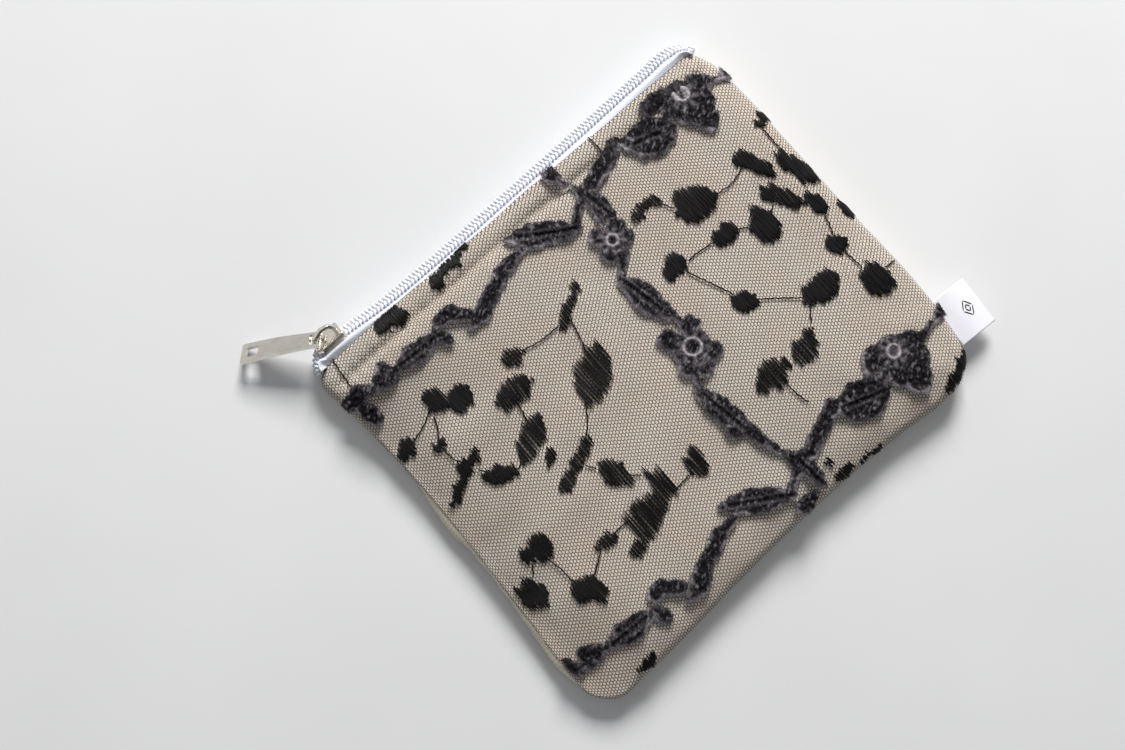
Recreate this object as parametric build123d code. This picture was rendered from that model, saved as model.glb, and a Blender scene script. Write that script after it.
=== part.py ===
from build123d import *
import os
from math import asin, cos, degrees, pi, radians, sin, sqrt

# A small padded zippered pouch, lying on its back panel.
# +X runs along the zipper away from the slider, +Y points out of the mouth, +Z is up through
# the front panel.  The origin is the middle of the back panel's flat resting face.

# ---- Driving dimensions, in millimetres ----
HALF_WIDTH = 65.0
BOTTOM_Y = -57.5
MOUTH_Y = 52.7
THICKNESS = 11.0
SEAM_Z = 5.0
SEAM_HALF_GAP = 0.15
CROWN_RADIUS = 900.0
SIDE_ROUND = 6.3
BACK_SIDE_ROUND = 5.3
CORNER_MARGIN = 1.0
CORNER_ROUND = 11.4

CLOTH = 0.4
BATTING = 1.2
LINING = 0.3
LAYER_GAP = 0.05
NET = 0.12
SATIN = 0.34
FELT = 0.95
SKIN_GAP = 0.02

CHAIN_Y = 57.0
CHAIN_Z = 5.6
CHAIN_TILT = 50.0
ROW_INNER = 0.65
ROW_OUTER = 2.05
ROW_HALF_THICKNESS = 0.95
TAPE = 0.4
TAPE_HIDDEN_Y = 46.5
FRONT_TAPE_Z = 8.6
TAPE_BEND = 1.5
TAPE_RETURN_START = 3.5
TAPE_RETURN_RADIUS = 1.15
ZIP_STRAIGHT = 60.2
ZIP_LIMIT_X = 64.6

SLIDER_START = -61.2
SLIDER_LENGTH = 8.3
SLIDER_HALF_WIDTH = 3.0
SLIDER_TAIL_HALF_WIDTH = 2.75
PLATE_INNER = 1.25
PLATE_OUTER = 2.2
FLANGE_INNER_W = 2.35
FLANGE_REACH = 0.5
CROWN_WIDTH = 1.2
CROWN_STRIP = 0.9

PULL_PIVOT = (2.5, -0.7, 3.2)
PULL_TURN = 34.6
PULL_LIFT = 7.5
PULL_LENGTH = 22.2
PULL_THICKNESS = 1.1
PULL_BAR_RADIUS = 0.4

LABEL_LENGTH = 9.8
LABEL_WIDTH = 13.6
LABEL_Y = -43.0
LABEL_PLY = 0.13

STITCH_PITCH = 2.6
STITCH_LENGTH = 2.1
STITCH_RADIUS = 0.13


# ---- Layers of the padded panels ----
def front_side_profile(inset):
    """Side view of the front half: a rounded bottom edge running into a long crowned top."""
    top_centre_z = THICKNESS - CROWN_RADIUS
    rise = THICKNESS - SEAM_Z
    edge = (2 * CROWN_RADIUS * rise - rise**2 - BOTTOM_Y**2) / (2 * CROWN_RADIUS + 2 * BOTTOM_Y)
    edge_y = BOTTOM_Y + edge
    reach = CROWN_RADIUS - edge
    join = (edge_y * CROWN_RADIUS / reach, top_centre_z + (SEAM_Z - top_centre_z) * CROWN_RADIUS / reach)
    outward = Vector(join[0] - edge_y, join[1] - SEAM_Z).normalized()
    start_z = SEAM_Z + SEAM_HALF_GAP
    radius = edge - inset
    start = (edge_y - sqrt(radius**2 - SEAM_HALF_GAP**2), start_z)
    middle = (edge_y - radius * cos(pi / 4), SEAM_Z + radius * sin(pi / 4))
    edge_end = (edge_y + outward.X * radius, SEAM_Z + outward.Y * radius)
    top_radius = CROWN_RADIUS - inset
    crest = (0, top_centre_z + top_radius)
    mouth_top = (MOUTH_Y, top_centre_z + sqrt(top_radius**2 - MOUTH_Y**2))
    mouth_foot = (MOUTH_Y, start_z)
    outline = [
        ThreePointArc(start, middle, edge_end),
        ThreePointArc(edge_end, crest, mouth_top),
        Polyline(mouth_top, mouth_foot, start),
    ]
    return Plane.YZ * make_face(outline)


def back_side_profile(inset):
    """Side view of the back half: flat underneath, with a rounded bottom edge."""
    radius = SEAM_Z - inset
    edge_y = BOTTOM_Y + SEAM_Z
    top_z = SEAM_Z - SEAM_HALF_GAP
    start = (edge_y - sqrt(radius**2 - SEAM_HALF_GAP**2), top_z)
    middle = (edge_y - radius * cos(pi / 4), SEAM_Z - radius * sin(pi / 4))
    flat_start = (edge_y, inset)
    outline = [
        ThreePointArc(start, middle, flat_start),
        Polyline(flat_start, (MOUTH_Y, inset), (MOUTH_Y, top_z), start),
    ]
    return Plane.YZ * make_face(outline)


def end_profile(inset, side_round, upward):
    """End view of one half, whose two sides are round; upward is 1 for the front, -1 for the back."""
    radius = side_round - inset
    centre_x = HALF_WIDTH - side_round
    start_z = SEAM_Z + upward * SEAM_HALF_GAP
    foot_x = centre_x + sqrt(radius**2 - SEAM_HALF_GAP**2)
    bend = radius * cos(pi / 4)
    right = ThreePointArc(
        (foot_x, start_z), (centre_x + bend, SEAM_Z + upward * bend), (centre_x, SEAM_Z + upward * radius)
    )
    left = ThreePointArc(
        (-centre_x, SEAM_Z + upward * radius), (-centre_x - bend, SEAM_Z + upward * bend), (-foot_x, start_z)
    )
    return Plane.XZ * make_face([right, Line(right @ 1, left @ 0), left, Line(left @ 1, right @ 0)])


def plan_block(inset):
    """Tall block that rounds the two bottom corners in plan."""
    half = HALF_WIDTH + CORNER_MARGIN - inset
    low = BOTTOM_Y - CORNER_MARGIN + inset
    high = MOUTH_Y + 2 * CORNER_ROUND
    plan = Pos(0, (low + high) / 2) * Rectangle(2 * half, high - low)
    corners = plan.vertices().sort_by(Axis.Y)[:2]
    plan = fillet(corners, CORNER_ROUND - inset)
    return extrude(plan, amount=2 * THICKNESS)


def half_body(inset, upward):
    """Solid block of the front (1) or back (-1) half, set in from the outer surface by inset."""
    width = 2 * HALF_WIDTH
    if upward > 0:
        along = extrude(front_side_profile(inset), amount=width, both=True)
        across = extrude(end_profile(inset, SIDE_ROUND, 1), amount=width, both=True)
    else:
        along = extrude(back_side_profile(inset), amount=width, both=True)
        across = extrude(end_profile(inset, BACK_SIDE_ROUND, -1), amount=width, both=True)
    return along & across & plan_block(inset)


def half_shell(outer, inner, upward):
    """One layer of cloth, batting or lining, between two insets."""
    return half_body(outer, upward) - half_body(inner, upward)


def panel_layers(upward):
    """Outer cloth, batting and lining of one panel."""
    batting_outer = CLOTH + LAYER_GAP
    lining_outer = batting_outer + BATTING + LAYER_GAP
    cloth = half_shell(0, CLOTH, upward)
    batting = half_shell(batting_outer, batting_outer + BATTING, upward)
    mouth_room = Pos(0, TAPE_HIDDEN_Y + 50, 0) * Box(4 * HALF_WIDTH, 101, 8 * THICKNESS)
    batting = batting - mouth_room
    lining = half_shell(lining_outer, lining_outer + LINING, upward)
    return cloth, batting, lining


# ---- Embroidered lace of the front ----
def leaf(x, y, length, width, angle):
    """Pointed leaf made of two arcs."""
    upper = ThreePointArc((-length / 2, 0), (0, width / 2), (length / 2, 0))
    lower = ThreePointArc((length / 2, 0), (0, -width / 2), (-length / 2, 0))
    return Pos(x, y) * (Rot(0, 0, angle) * make_face([upper, lower]))


def oval(x, y, length, width, angle):
    """Rounded patch."""
    return Pos(x, y) * (Rot(0, 0, angle) * Ellipse(length / 2, width / 2))


def strip(x1, y1, x2, y2, width):
    """Round-ended strip between two points."""
    run = Vector(x2 - x1, y2 - y1)
    middle = Pos((x1 + x2) / 2, (y1 + y2) / 2)
    angle = Vector(1, 0).get_signed_angle(run)
    return middle * (Rot(0, 0, angle) * SlotCenterToCenter(run.length, width))


def flower(x, y, size, petals, turn):
    """Ring of petals round a centre."""
    shape = Pos(x, y) * Circle(size * 0.3)
    for index in range(petals):
        angle = radians(turn + 360 * index / petals)
        shape += oval(x + 0.3 * size * cos(angle), y + 0.3 * size * sin(angle), size * 0.42, size * 0.34, turn)
    return shape


LACE_SHIFT = (-4.0, -87.0)
CHAIN_FLOWERS = [(-52, 40.5, 7.5, 5, 20), (52, 43, 19, 5, 10)]
CHAIN_LEAVES = [(-42, 39.5, 14, 6, 0), (2, 42, 20, 7.5, -31), (38.5, 42.5, 14, 11, -15)]
CHAIN_STRIPS = [
    (-61, 41, -61, 35, 6.5),
    (-58, 40, -36, 39, 2.2),
    (-36, 38, -30, 41.5, 5),
    (-29, 41, -24, 36, 3.5),
    (-24, 36, -7, 41.5, 3.6),
    (8, 38.5, 15, 42, 2.6),
    (15, 42, 29, 46, 4.2),
    (29, 46, 33, 44, 3),
    (16, 44, 17, 35.5, 4.4),
    (44, 43, 46, 43, 3),
    (58, 43.5, 61.5, 42.5, 2.4),
]
COLUMN_FLOWERS = [(13, 28.5, 11, 5, 30), (10.5, -5, 14, 5, 0)]
COLUMN_LEAVES = [(9.8, 12, 17, 7, 97), (6, -22, 19, 6.5, 97)]
COLUMN_STRIPS = [(14, 36, 13.5, 31, 2.4), (10.5, 23, 9.5, 18, 2), (12, 5, 11.5, 0, 2), (7, -31, 10, -40, 2.6)]
BOTTOM_EDGE_STRIPS = [(12, -45, 11.5, -50, 3.4), (11.5, -50, 6.5, -52.5, 2.6)]
TOP_EDGE_STRIPS = [(12.5, 51.5, 12.8, 49, 4), (13, 48, 15, 44, 2)]

SATIN_LEAVES = [
    (-54, 8, 15, 4, 28),
    (-46, 2.5, 9, 4, -35),
    (-35, 4.5, 12, 6, 35),
    (-13.5, 5.5, 15, 10, 25),
    (-30.5, -8, 16, 4, 27),
    (-6, 23, 12, 3.2, 30),
    (-25, -32, 20, 4, 20),
    (45, -15, 10, 6.5, 10),
]
SATIN_OVALS = [
    (-46, 27.5, 7, 8, 0),
    (-41, 24, 7, 6, 0),
    (-60, 23, 5, 4.5, 0),
    (-53, 18.5, 3.5, 3.5, 0),
    (-33, -2, 4.5, 2, 30),
    (-30, 16, 9.5, 7, 0),
    (-24.5, 22.5, 5.5, 4.5, 0),
    (-24.5, -16, 6, 9, 20),
    (-17.5, -24.5, 4.5, 9, 0),
    (-26, -27, 8, 4, 0),
    (-8, -26.5, 5, 8.5, -30),
    (-37.5, -27.5, 5, 2.6, 0),
    (-48.5, -33, 8, 7.5, 0),
    (-52, -17, 8, 7, 0),
    (-59.5, -25, 6.5, 9, 0),
    (-41, 50.2, 7.5, 3.8, 0),
    (-21.5, 51, 12, 2.4, 0),
    (25.5, 30, 8.5, 3.6, 0),
    (35, 22, 10.5, 10.5, 0),
    (54, 20, 5, 12, 28),
    (60.5, 12.5, 4.5, 13, 12),
    (61, 27.5, 3.5, 2.5, 0),
    (21, 13, 7.5, 6, 0),
    (35.5, 11, 6.5, 5.5, 0),
    (45, 6, 7.5, 11, 10),
    (53.5, 9, 5.5, 11, 25),
    (59.3, 1.5, 3.2, 7, 0),
    (56, -9.5, 4.8, 5, 0),
    (57, -22, 6.5, 9, 0),
    (28, -4.5, 6, 6, 0),
    (32.5, -23.5, 8, 6.5, 0),
    (21, -23.5, 8, 8, 0),
    (17.5, -49, 1.6, 1.4, 0),
]
STEMS = [
    ((-58, 23.5), (-49.5, 26.5)),
    ((-49.5, 24), (-53, 19)),
    ((-53, 18), (-51.5, 10)),
    ((-50, 7), (-48, 4)),
    ((-43, 1), (-40, 2)),
    ((-32, 12.5), (-33, 8)),
    ((-22, 22), (-11, 21)),
    ((-7.5, 21), (-10.5, 9)),
    ((-19, 1.5), (-24, -4.5)),
    ((-29, -9), (-26.5, -13)),
    ((-22, -19.5), (-18.5, -22)),
    ((-57.5, -21), (-55, -19)),
    ((-51, -20), (-49.8, -30)),
    ((-45, -32), (-40, -28)),
    ((-35.5, -27.5), (-29, -26.8)),
    ((-15.5, -28.5), (-10, -28)),
    ((30, 28.5), (31.5, 25)),
    ((40, 20), (51.5, 20.5)),
    ((24.5, 12), (32.5, 12)),
    ((38.5, 11), (41.5, 8)),
    ((48.5, 7.5), (51, 9)),
    ((22.5, 10.5), (26.5, -2)),
    ((30.5, -6.5), (41, -13)),
    ((43, -17), (36, -21)),
    ((22.5, -27), (23, -34)),
    ((61.2, 26.5), (61.2, 18)),
    ((56, 5), (58.5, 4)),
    ((58.8, -1.5), (57, -7.5)),
    ((56.3, -12), (57, -18)),
    ((-60, 43.5), (-60, 51.5)),
]
STEM_WIDTH = 0.45


def chain_sketch(shift_x, shift_y):
    """One horizontal run of felt flowers, leaves and strips."""
    shape = Sketch()
    for x, y, size, petals, turn in CHAIN_FLOWERS:
        shape += flower(x + shift_x, y + shift_y, size, petals, turn)
    for x, y, length, width, angle in CHAIN_LEAVES:
        shape += leaf(x + shift_x, y + shift_y, length, width, angle)
    for x1, y1, x2, y2, width in CHAIN_STRIPS:
        shape += strip(x1 + shift_x, y1 + shift_y, x2 + shift_x, y2 + shift_y, width)
    return shape


def column_sketch():
    """Upright run of felt that joins the two horizontal ones."""
    shape = Sketch()
    for spec in COLUMN_FLOWERS:
        shape += flower(*spec)
    for spec in COLUMN_LEAVES:
        shape += leaf(*spec)
    for spec in COLUMN_STRIPS:
        shape += strip(*spec)
    return shape


def satin_sketch():
    """Satin-stitched patches and the fine stems between them."""
    shape = Sketch()
    for spec in SATIN_LEAVES:
        shape += leaf(*spec)
    for spec in SATIN_OVALS:
        shape += oval(*spec)
    for (x1, y1), (x2, y2) in STEMS:
        shape += strip(x1, y1, x2, y2, STEM_WIDTH)
    return shape


def lace_window():
    """Part of the front that the lace motifs may cover."""
    low = BOTTOM_Y + 3
    high = MOUTH_Y - 0.4
    return Pos(0, (low + high) / 2) * Rectangle(2 * HALF_WIDTH - 5, high - low)


def on_front(sketch, lift, thickness):
    """Raise a plan sketch as a thin layer that follows the front surface."""
    column = extrude(sketch, amount=2 * THICKNESS)
    return column & half_shell(-lift - thickness, -lift, 1)


# ---- Zipper ----
NORMAL = (0, cos(radians(CHAIN_TILT)), sin(radians(CHAIN_TILT)))
ACROSS = (0, sin(radians(CHAIN_TILT)), -cos(radians(CHAIN_TILT)))


def chain_point(across, normal):
    """Point of the zipper's section, as (y, z), from its place across and out of the chain."""
    y = CHAIN_Y + across * ACROSS[1] + normal * NORMAL[1]
    z = CHAIN_Z + across * ACROSS[2] + normal * NORMAL[2]
    return (y, z)


def run_and_round_ends(section):
    """Carry a section along the mouth, and turn it in towards the side seam at both ends."""
    straight = extrude(Plane.YZ * section, amount=ZIP_STRAIGHT, both=True)
    outside = Pos(MOUTH_Y + 50, 0) * Rectangle(100, 100)
    curling = section & outside
    right = Pos(ZIP_STRAIGHT, 0, 0) * (Plane.YZ * curling)
    left = Pos(-ZIP_STRAIGHT, 0, 0) * (Plane.YZ * curling)
    reach = section.bounding_box().max.X - MOUTH_Y
    turn = degrees(asin(min(1, (ZIP_LIMIT_X - ZIP_STRAIGHT) / reach)))
    right_end = revolve(right, axis=Axis((ZIP_STRAIGHT, MOUTH_Y, 0), (0, 0, -1)), revolution_arc=turn)
    left_end = revolve(left, axis=Axis((-ZIP_STRAIGHT, MOUTH_Y, 0), (0, 0, 1)), revolution_arc=turn)
    return straight + right_end + left_end


def coil_row(side):
    """Interlocked coil of one tape; side is -1 for the front tape and 1 for the back."""
    corners = [
        chain_point(side * ROW_INNER, -ROW_HALF_THICKNESS),
        chain_point(side * ROW_OUTER, -ROW_HALF_THICKNESS),
        chain_point(side * ROW_OUTER, ROW_HALF_THICKNESS),
        chain_point(side * ROW_INNER, ROW_HALF_THICKNESS),
    ]
    section = make_face(Polyline(*corners, close=True))
    section = fillet(section.vertices(), 0.5)
    return run_and_round_ends(section)


def front_tape():
    """Tape that leaves the front panel level and bends down to the coil."""
    meet = (FRONT_TAPE_Z - CHAIN_Z) / -ACROSS[2]
    path = FilletPolyline(
        (TAPE_HIDDEN_Y, FRONT_TAPE_Z), chain_point(-meet, 0), chain_point(-ROW_OUTER, 0), radius=TAPE_BEND
    )
    return run_and_round_ends(band(path, TAPE))


def back_tape():
    """Tape that leaves the coil, turns under and goes back into the back panel."""
    start = chain_point(ROW_OUTER, 0)
    turn_start = chain_point(TAPE_RETURN_START, 0)
    centre = (
        turn_start[0] - TAPE_RETURN_RADIUS * NORMAL[1],
        turn_start[1] - TAPE_RETURN_RADIUS * NORMAL[2],
    )
    middle_angle = radians((90 - CHAIN_TILT - 90) / 2)
    turn_middle = (
        centre[0] + TAPE_RETURN_RADIUS * cos(middle_angle),
        centre[1] + TAPE_RETURN_RADIUS * sin(middle_angle),
    )
    turn_end = (centre[0], centre[1] - TAPE_RETURN_RADIUS)
    path = [
        Line(start, turn_start),
        ThreePointArc(turn_start, turn_middle, turn_end),
        Line(turn_end, (TAPE_HIDDEN_Y, turn_end[1])),
    ]
    return run_and_round_ends(band(Curve() + path, TAPE))


def band(path, thickness):
    """Flat band of even thickness about a path, with square ends."""
    return make_face(trace(path, thickness).edges())


def slider_plane():
    """Frame of the slider: x along the zipper, y across the chain, z out of it."""
    return Plane(origin=(SLIDER_START, CHAIN_Y, CHAIN_Z), x_dir=(1, 0, 0), z_dir=NORMAL)


def slider_plan():
    """Outline of the slider's plates, wide at the nose and narrower at the tail."""
    nose = 2.1
    shoulder = 1.3
    outline = Polyline(
        (0, nose),
        (shoulder, SLIDER_HALF_WIDTH),
        (SLIDER_LENGTH * 0.55, SLIDER_HALF_WIDTH),
        (SLIDER_LENGTH, SLIDER_TAIL_HALF_WIDTH),
        (SLIDER_LENGTH, -SLIDER_TAIL_HALF_WIDTH),
        (SLIDER_LENGTH * 0.55, -SLIDER_HALF_WIDTH),
        (shoulder, -SLIDER_HALF_WIDTH),
        (0, -nose),
        close=True,
    )
    face = make_face(outline)
    return fillet(face.vertices(), 0.45)


def slider_body():
    """Two plates with side flanges, held together by a post between the coil rows."""
    plan = slider_plan()
    thickness = PLATE_OUTER - PLATE_INNER
    body = Pos(0, 0, PLATE_INNER) * extrude(plan, amount=thickness)
    outer_rim = body.faces().sort_by(Axis.Z)[-1].edges()
    body = fillet(outer_rim, 0.3)
    middle_strip = Rectangle(4 * SLIDER_LENGTH, 2 * FLANGE_INNER_W)
    throat = Pos(-SLIDER_LENGTH + 1.3, 0) * Rectangle(2 * SLIDER_LENGTH, 8 * SLIDER_HALF_WIDTH)
    flange_plan = plan - middle_strip - throat
    body += Pos(0, 0, FLANGE_REACH) * extrude(flange_plan, amount=PLATE_INNER - FLANGE_REACH + 0.1)
    body += mirror(body, about=Plane.XY)
    post = Pos(1.4, 0, 0) * Box(1.5, 0.66, 2 * PLATE_INNER + 0.2)
    return slider_plane() * (body + post)


def slider_crown():
    """Bridge over the outer plate that the pull's eye hangs on."""
    path = FilletPolyline(
        (1.15, PLATE_OUTER), (1.15, 3.9), (4.1, 5.15), (6.3, 4.75), (7.0, 3.3), (7.0, PLATE_OUTER), radius=0.9
    )
    section = Plane.XZ * band(path, CROWN_STRIP)
    strip_solid = extrude(section, amount=CROWN_WIDTH / 2, both=True)
    sides = strip_solid.faces().sort_by(Axis.Y)
    rims = sides[0].edges() + sides[-1].edges()
    rims = [edge for edge in rims if edge.center().Z > PLATE_OUTER + CROWN_STRIP / 2]
    return slider_plane() * fillet(rims, 0.16)


def pull_plane():
    """Frame of the pull: x along the tab from its eye bar, z out of the tab's face."""
    turn = radians(PULL_TURN)
    lift = radians(PULL_LIFT)
    base = slider_plane()
    flat_x = base.x_dir * -cos(turn) + base.y_dir * sin(turn)
    along = flat_x * cos(lift) + base.z_dir * sin(lift)
    out = base.z_dir * cos(lift) - flat_x * sin(lift)
    return Plane(origin=base.from_local_coords(PULL_PIVOT), x_dir=along, z_dir=out)


def pull_tab():
    """Flat tab with a slotted tip and a rectangular eye, bowed slightly along its length."""
    eye_low = -2.75
    eye_high = 1.95
    tip_low = -3.5
    tip_high = 2.7
    shoulder = 4.4
    outline = Polyline(
        (0, eye_low),
        (shoulder, eye_low),
        (PULL_LENGTH, tip_low),
        (PULL_LENGTH, tip_high),
        (shoulder, eye_high),
        (0, eye_high),
        close=True,
    )
    plan = make_face(outline)
    tab_corners = [vertex for vertex in plan.vertices() if vertex.X > 1]
    plan = fillet(tab_corners, 0.7)
    eye = Pos(1.4, -0.4) * RectangleRounded(2.8, 3.2, 0.35)
    slot = Pos(PULL_LENGTH - 3.2, -0.4) * RectangleRounded(3.6, 3.1, 0.6)
    plan = plan - eye - slot
    sagitta = 0.45
    low = ThreePointArc((0, -0.4), (PULL_LENGTH / 2, sagitta - PULL_THICKNESS / 2), (PULL_LENGTH, -0.4))
    high = ThreePointArc((PULL_LENGTH, 0.4), (PULL_LENGTH / 2, sagitta + PULL_THICKNESS / 2), (0, 0.4))
    side_view = make_face([low, Line(low @ 1, high @ 0), high, Line(high @ 1, low @ 0)])
    bowed = extrude(Plane.XZ * side_view, amount=10, both=True)
    tab = bowed & Pos(0, 0, -5) * extrude(plan, amount=10)
    bar = Pos(0, -0.4, 0) * (Rot(90, 0, 0) * Cylinder(PULL_BAR_RADIUS, eye_high - eye_low))
    return pull_plane() * (tab + bar)


# ---- Label and threads ----
def side_label():
    """Woven ribbon folded in half, with its two ends caught in the right side seam."""
    root_x = HALF_WIDTH - 1.6
    fold_x = HALF_WIDTH + LABEL_LENGTH
    belly = 0.55
    spread_x = HALF_WIDTH + 0.45 * LABEL_LENGTH
    outer = Spline(
        (root_x + 1.7, SEAM_Z + LABEL_PLY),
        (spread_x, SEAM_Z + belly),
        (fold_x, SEAM_Z),
        (spread_x, SEAM_Z - belly),
        (root_x + 1.7, SEAM_Z - LABEL_PLY),
        tangents=((1, 0), (-1, 0)),
    )
    root = Polyline(outer @ 1, (root_x, SEAM_Z - LABEL_PLY), (root_x, SEAM_Z + LABEL_PLY), outer @ 0)
    inner = Pos(HALF_WIDTH + 0.52 * LABEL_LENGTH, SEAM_Z) * Ellipse(0.38 * LABEL_LENGTH, belly - 0.22)
    section = make_face([outer, root]) - inner
    ribbon = extrude(Plane.XZ * section, amount=LABEL_WIDTH / 2, both=True)
    return Pos(0, LABEL_Y, 0) * ribbon


def stitch_row(start, end):
    """Row of separate stitches between two points."""
    start = Vector(*start)
    run = Vector(*end) - start
    count = int(run.length // STITCH_PITCH)
    direction = run.normalized()
    stitches = []
    for index in range(count):
        foot = start + direction * (index * STITCH_PITCH)
        stitch = Plane(origin=foot, z_dir=direction) * Cylinder(
            STITCH_RADIUS, STITCH_LENGTH, align=(Align.CENTER, Align.CENTER, Align.MIN)
        )
        stitches.append(stitch)
    return stitches


def seam_threads():
    """Rows of stitching: the two sides, the bottom, the lining and the two tape edges."""
    side_x = HALF_WIDTH - 0.25
    corner_y = BOTTOM_Y + 9
    bottom_y = BOTTOM_Y + 0.25
    bottom_x = HALF_WIDTH - 10
    lining_inset = CLOTH + BATTING + LINING / 2 + 2 * LAYER_GAP
    lining_y = BOTTOM_Y + lining_inset
    lining_x = bottom_x - 3
    top_y = MOUTH_Y - 1
    tape_x = ZIP_STRAIGHT - 2
    tape_y = TAPE_HIDDEN_Y + 1.3
    thread_offset = TAPE / 2 + STITCH_RADIUS + SKIN_GAP
    front_z = FRONT_TAPE_Z + thread_offset
    back_z = back_tape_level() - thread_offset
    above_label = LABEL_Y + LABEL_WIDTH / 2 + 0.5
    return {
        "left_seam_thread": stitch_row((-side_x, corner_y, SEAM_Z), (-side_x, top_y, SEAM_Z)),
        "right_seam_thread": stitch_row((side_x, above_label, SEAM_Z), (side_x, top_y, SEAM_Z)),
        "bottom_seam_thread": stitch_row((-bottom_x, bottom_y, SEAM_Z), (bottom_x, bottom_y, SEAM_Z)),
        "lining_seam_thread": stitch_row((-lining_x, lining_y, SEAM_Z), (lining_x, lining_y, SEAM_Z)),
        "front_tape_thread": stitch_row((-tape_x, tape_y, front_z), (tape_x, tape_y, front_z)),
        "back_tape_thread": stitch_row((-tape_x, tape_y, back_z), (tape_x, tape_y, back_z)),
    }


def back_tape_level():
    """Height of the back tape where it lies inside the back panel."""
    turn_start_z = chain_point(TAPE_RETURN_START, 0)[1]
    return turn_start_z - TAPE_RETURN_RADIUS * NORMAL[2] - TAPE_RETURN_RADIUS


# ---- Assembly ----
def build_nodes():
    """Every sub-part of the pouch by name."""
    nodes = {}
    nodes["front_cloth"], nodes["front_batting"], nodes["front_lining"] = panel_layers(1)
    nodes["back_cloth"], nodes["back_batting"], nodes["back_lining"] = panel_layers(-1)
    nodes["front_net"] = half_shell(-SKIN_GAP - NET, -SKIN_GAP, 1)

    window = lace_window()
    motif_lift = 2 * SKIN_GAP + NET
    edges_top = Sketch() + [strip(*spec) for spec in TOP_EDGE_STRIPS]
    edges_bottom = Sketch() + [strip(*spec) for spec in BOTTOM_EDGE_STRIPS]
    top = (chain_sketch(0, 0) + edges_top) & window
    bottom = (chain_sketch(*LACE_SHIFT) + edges_bottom) & window
    column = column_sketch() & window
    column = column - offset(top, 0.15) - offset(bottom, 0.15)
    felt = top + bottom + column
    satin = (satin_sketch() & window) - offset(felt, 0.15)
    nodes["top_felt_chain"] = on_front(top, motif_lift, FELT)
    nodes["bottom_felt_chain"] = on_front(bottom, motif_lift, FELT)
    nodes["felt_column"] = on_front(column, motif_lift, FELT)
    nodes["satin_stitching"] = on_front(satin, motif_lift, SATIN)

    nodes["front_tape"] = front_tape()
    nodes["back_tape"] = back_tape()
    nodes["front_coil"] = coil_row(-1)
    nodes["back_coil"] = coil_row(1)
    nodes["slider_body"] = slider_body()
    nodes["slider_crown"] = slider_crown()
    nodes["pull_tab"] = pull_tab()

    nodes["side_label"] = side_label()
    for name, stitches in seam_threads().items():
        nodes[name] = Compound(children=stitches)
    return nodes


os.makedirs("parts", exist_ok=True)
for node, shape in build_nodes().items():
    export_step(shape, f"parts/{node}.step")
    print(node, round(shape.volume, 3))
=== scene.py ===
"""Looks of a small padded zippered pouch with a lace front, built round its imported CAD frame."""

import math

import bpy
import numpy as np
from mathutils import Matrix, Vector


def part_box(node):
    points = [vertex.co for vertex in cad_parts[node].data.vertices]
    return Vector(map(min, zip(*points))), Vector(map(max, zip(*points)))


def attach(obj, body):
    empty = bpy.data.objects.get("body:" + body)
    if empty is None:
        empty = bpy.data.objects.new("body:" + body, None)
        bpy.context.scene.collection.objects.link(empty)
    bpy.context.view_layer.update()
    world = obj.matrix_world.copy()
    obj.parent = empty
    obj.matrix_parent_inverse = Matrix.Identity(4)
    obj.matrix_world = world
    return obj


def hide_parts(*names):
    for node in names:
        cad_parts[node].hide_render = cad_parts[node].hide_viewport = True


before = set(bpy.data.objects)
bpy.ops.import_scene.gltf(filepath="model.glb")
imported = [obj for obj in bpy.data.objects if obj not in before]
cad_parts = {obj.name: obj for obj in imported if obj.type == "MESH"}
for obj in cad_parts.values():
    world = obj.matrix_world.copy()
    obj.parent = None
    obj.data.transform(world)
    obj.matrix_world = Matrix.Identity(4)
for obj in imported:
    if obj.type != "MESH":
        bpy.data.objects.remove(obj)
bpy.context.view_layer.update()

# Lengths are millimetres up to the moment a mesh is written, which is in metres.
MM = 0.001
TURN = 2 * math.pi


def node_box(node):
    """Lowest and highest corners of a CAD node, in millimetres."""
    low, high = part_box(node)
    return np.array(low) / MM, np.array(high) / MM


front_low, front_high = node_box("front_cloth")
back_high = node_box("back_cloth")[1]
SEAM_Z = (front_low[2] + back_high[2]) / 2
MOUTH_Y = front_high[1]
CREST_Z = front_high[2]


# ---- Small tools for shapes ----
def unit(vectors):
    """Vectors of length 1, along the last axis."""
    return vectors / np.maximum(np.linalg.norm(vectors, axis=-1), 1e-9)[..., None]


def smoothstep(value):
    """Ease from 0 to 1."""
    t = np.clip(value, 0, 1)
    return t * t * (3 - 2 * t)


def smooth_path(points, step):
    """Dense smooth curve through a few points, in two or three dimensions."""
    p = np.array(points, float)
    gaps = np.linalg.norm(np.diff(p, axis=0), axis=1)
    slopes = np.diff(p, axis=0) / gaps[:, None]
    tangents = np.vstack([slopes[:1], p[1:-1], slopes[-1:]])
    weight = (gaps[:-1] / (gaps[:-1] + gaps[1:]))[:, None]
    tangents[1:-1] = slopes[:-1] * (1 - weight) + slopes[1:] * weight
    out = []
    for i, gap in enumerate(gaps):
        count = max(2, int(math.ceil(gap / step)))
        t = (np.arange(count) / count)[:, None]
        start = p[i] * (2 * t**3 - 3 * t**2 + 1) + tangents[i] * gap * (t**3 - 2 * t**2 + t)
        end = p[i + 1] * (3 * t**2 - 2 * t**3) + tangents[i + 1] * gap * (t**3 - t**2)
        out.append(start + end)
    return np.vstack(out + [p[-1:]])


def arc_lengths(path):
    """Distance along a path at each of its points."""
    return np.concatenate([[0], np.cumsum(np.linalg.norm(np.diff(path, axis=0), axis=1))])


def along_path(path, places):
    """Points at the given distances along a path."""
    lengths = arc_lengths(path)
    return np.stack([np.interp(places, lengths, path[:, k]) for k in range(path.shape[1])], axis=1)


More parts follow.
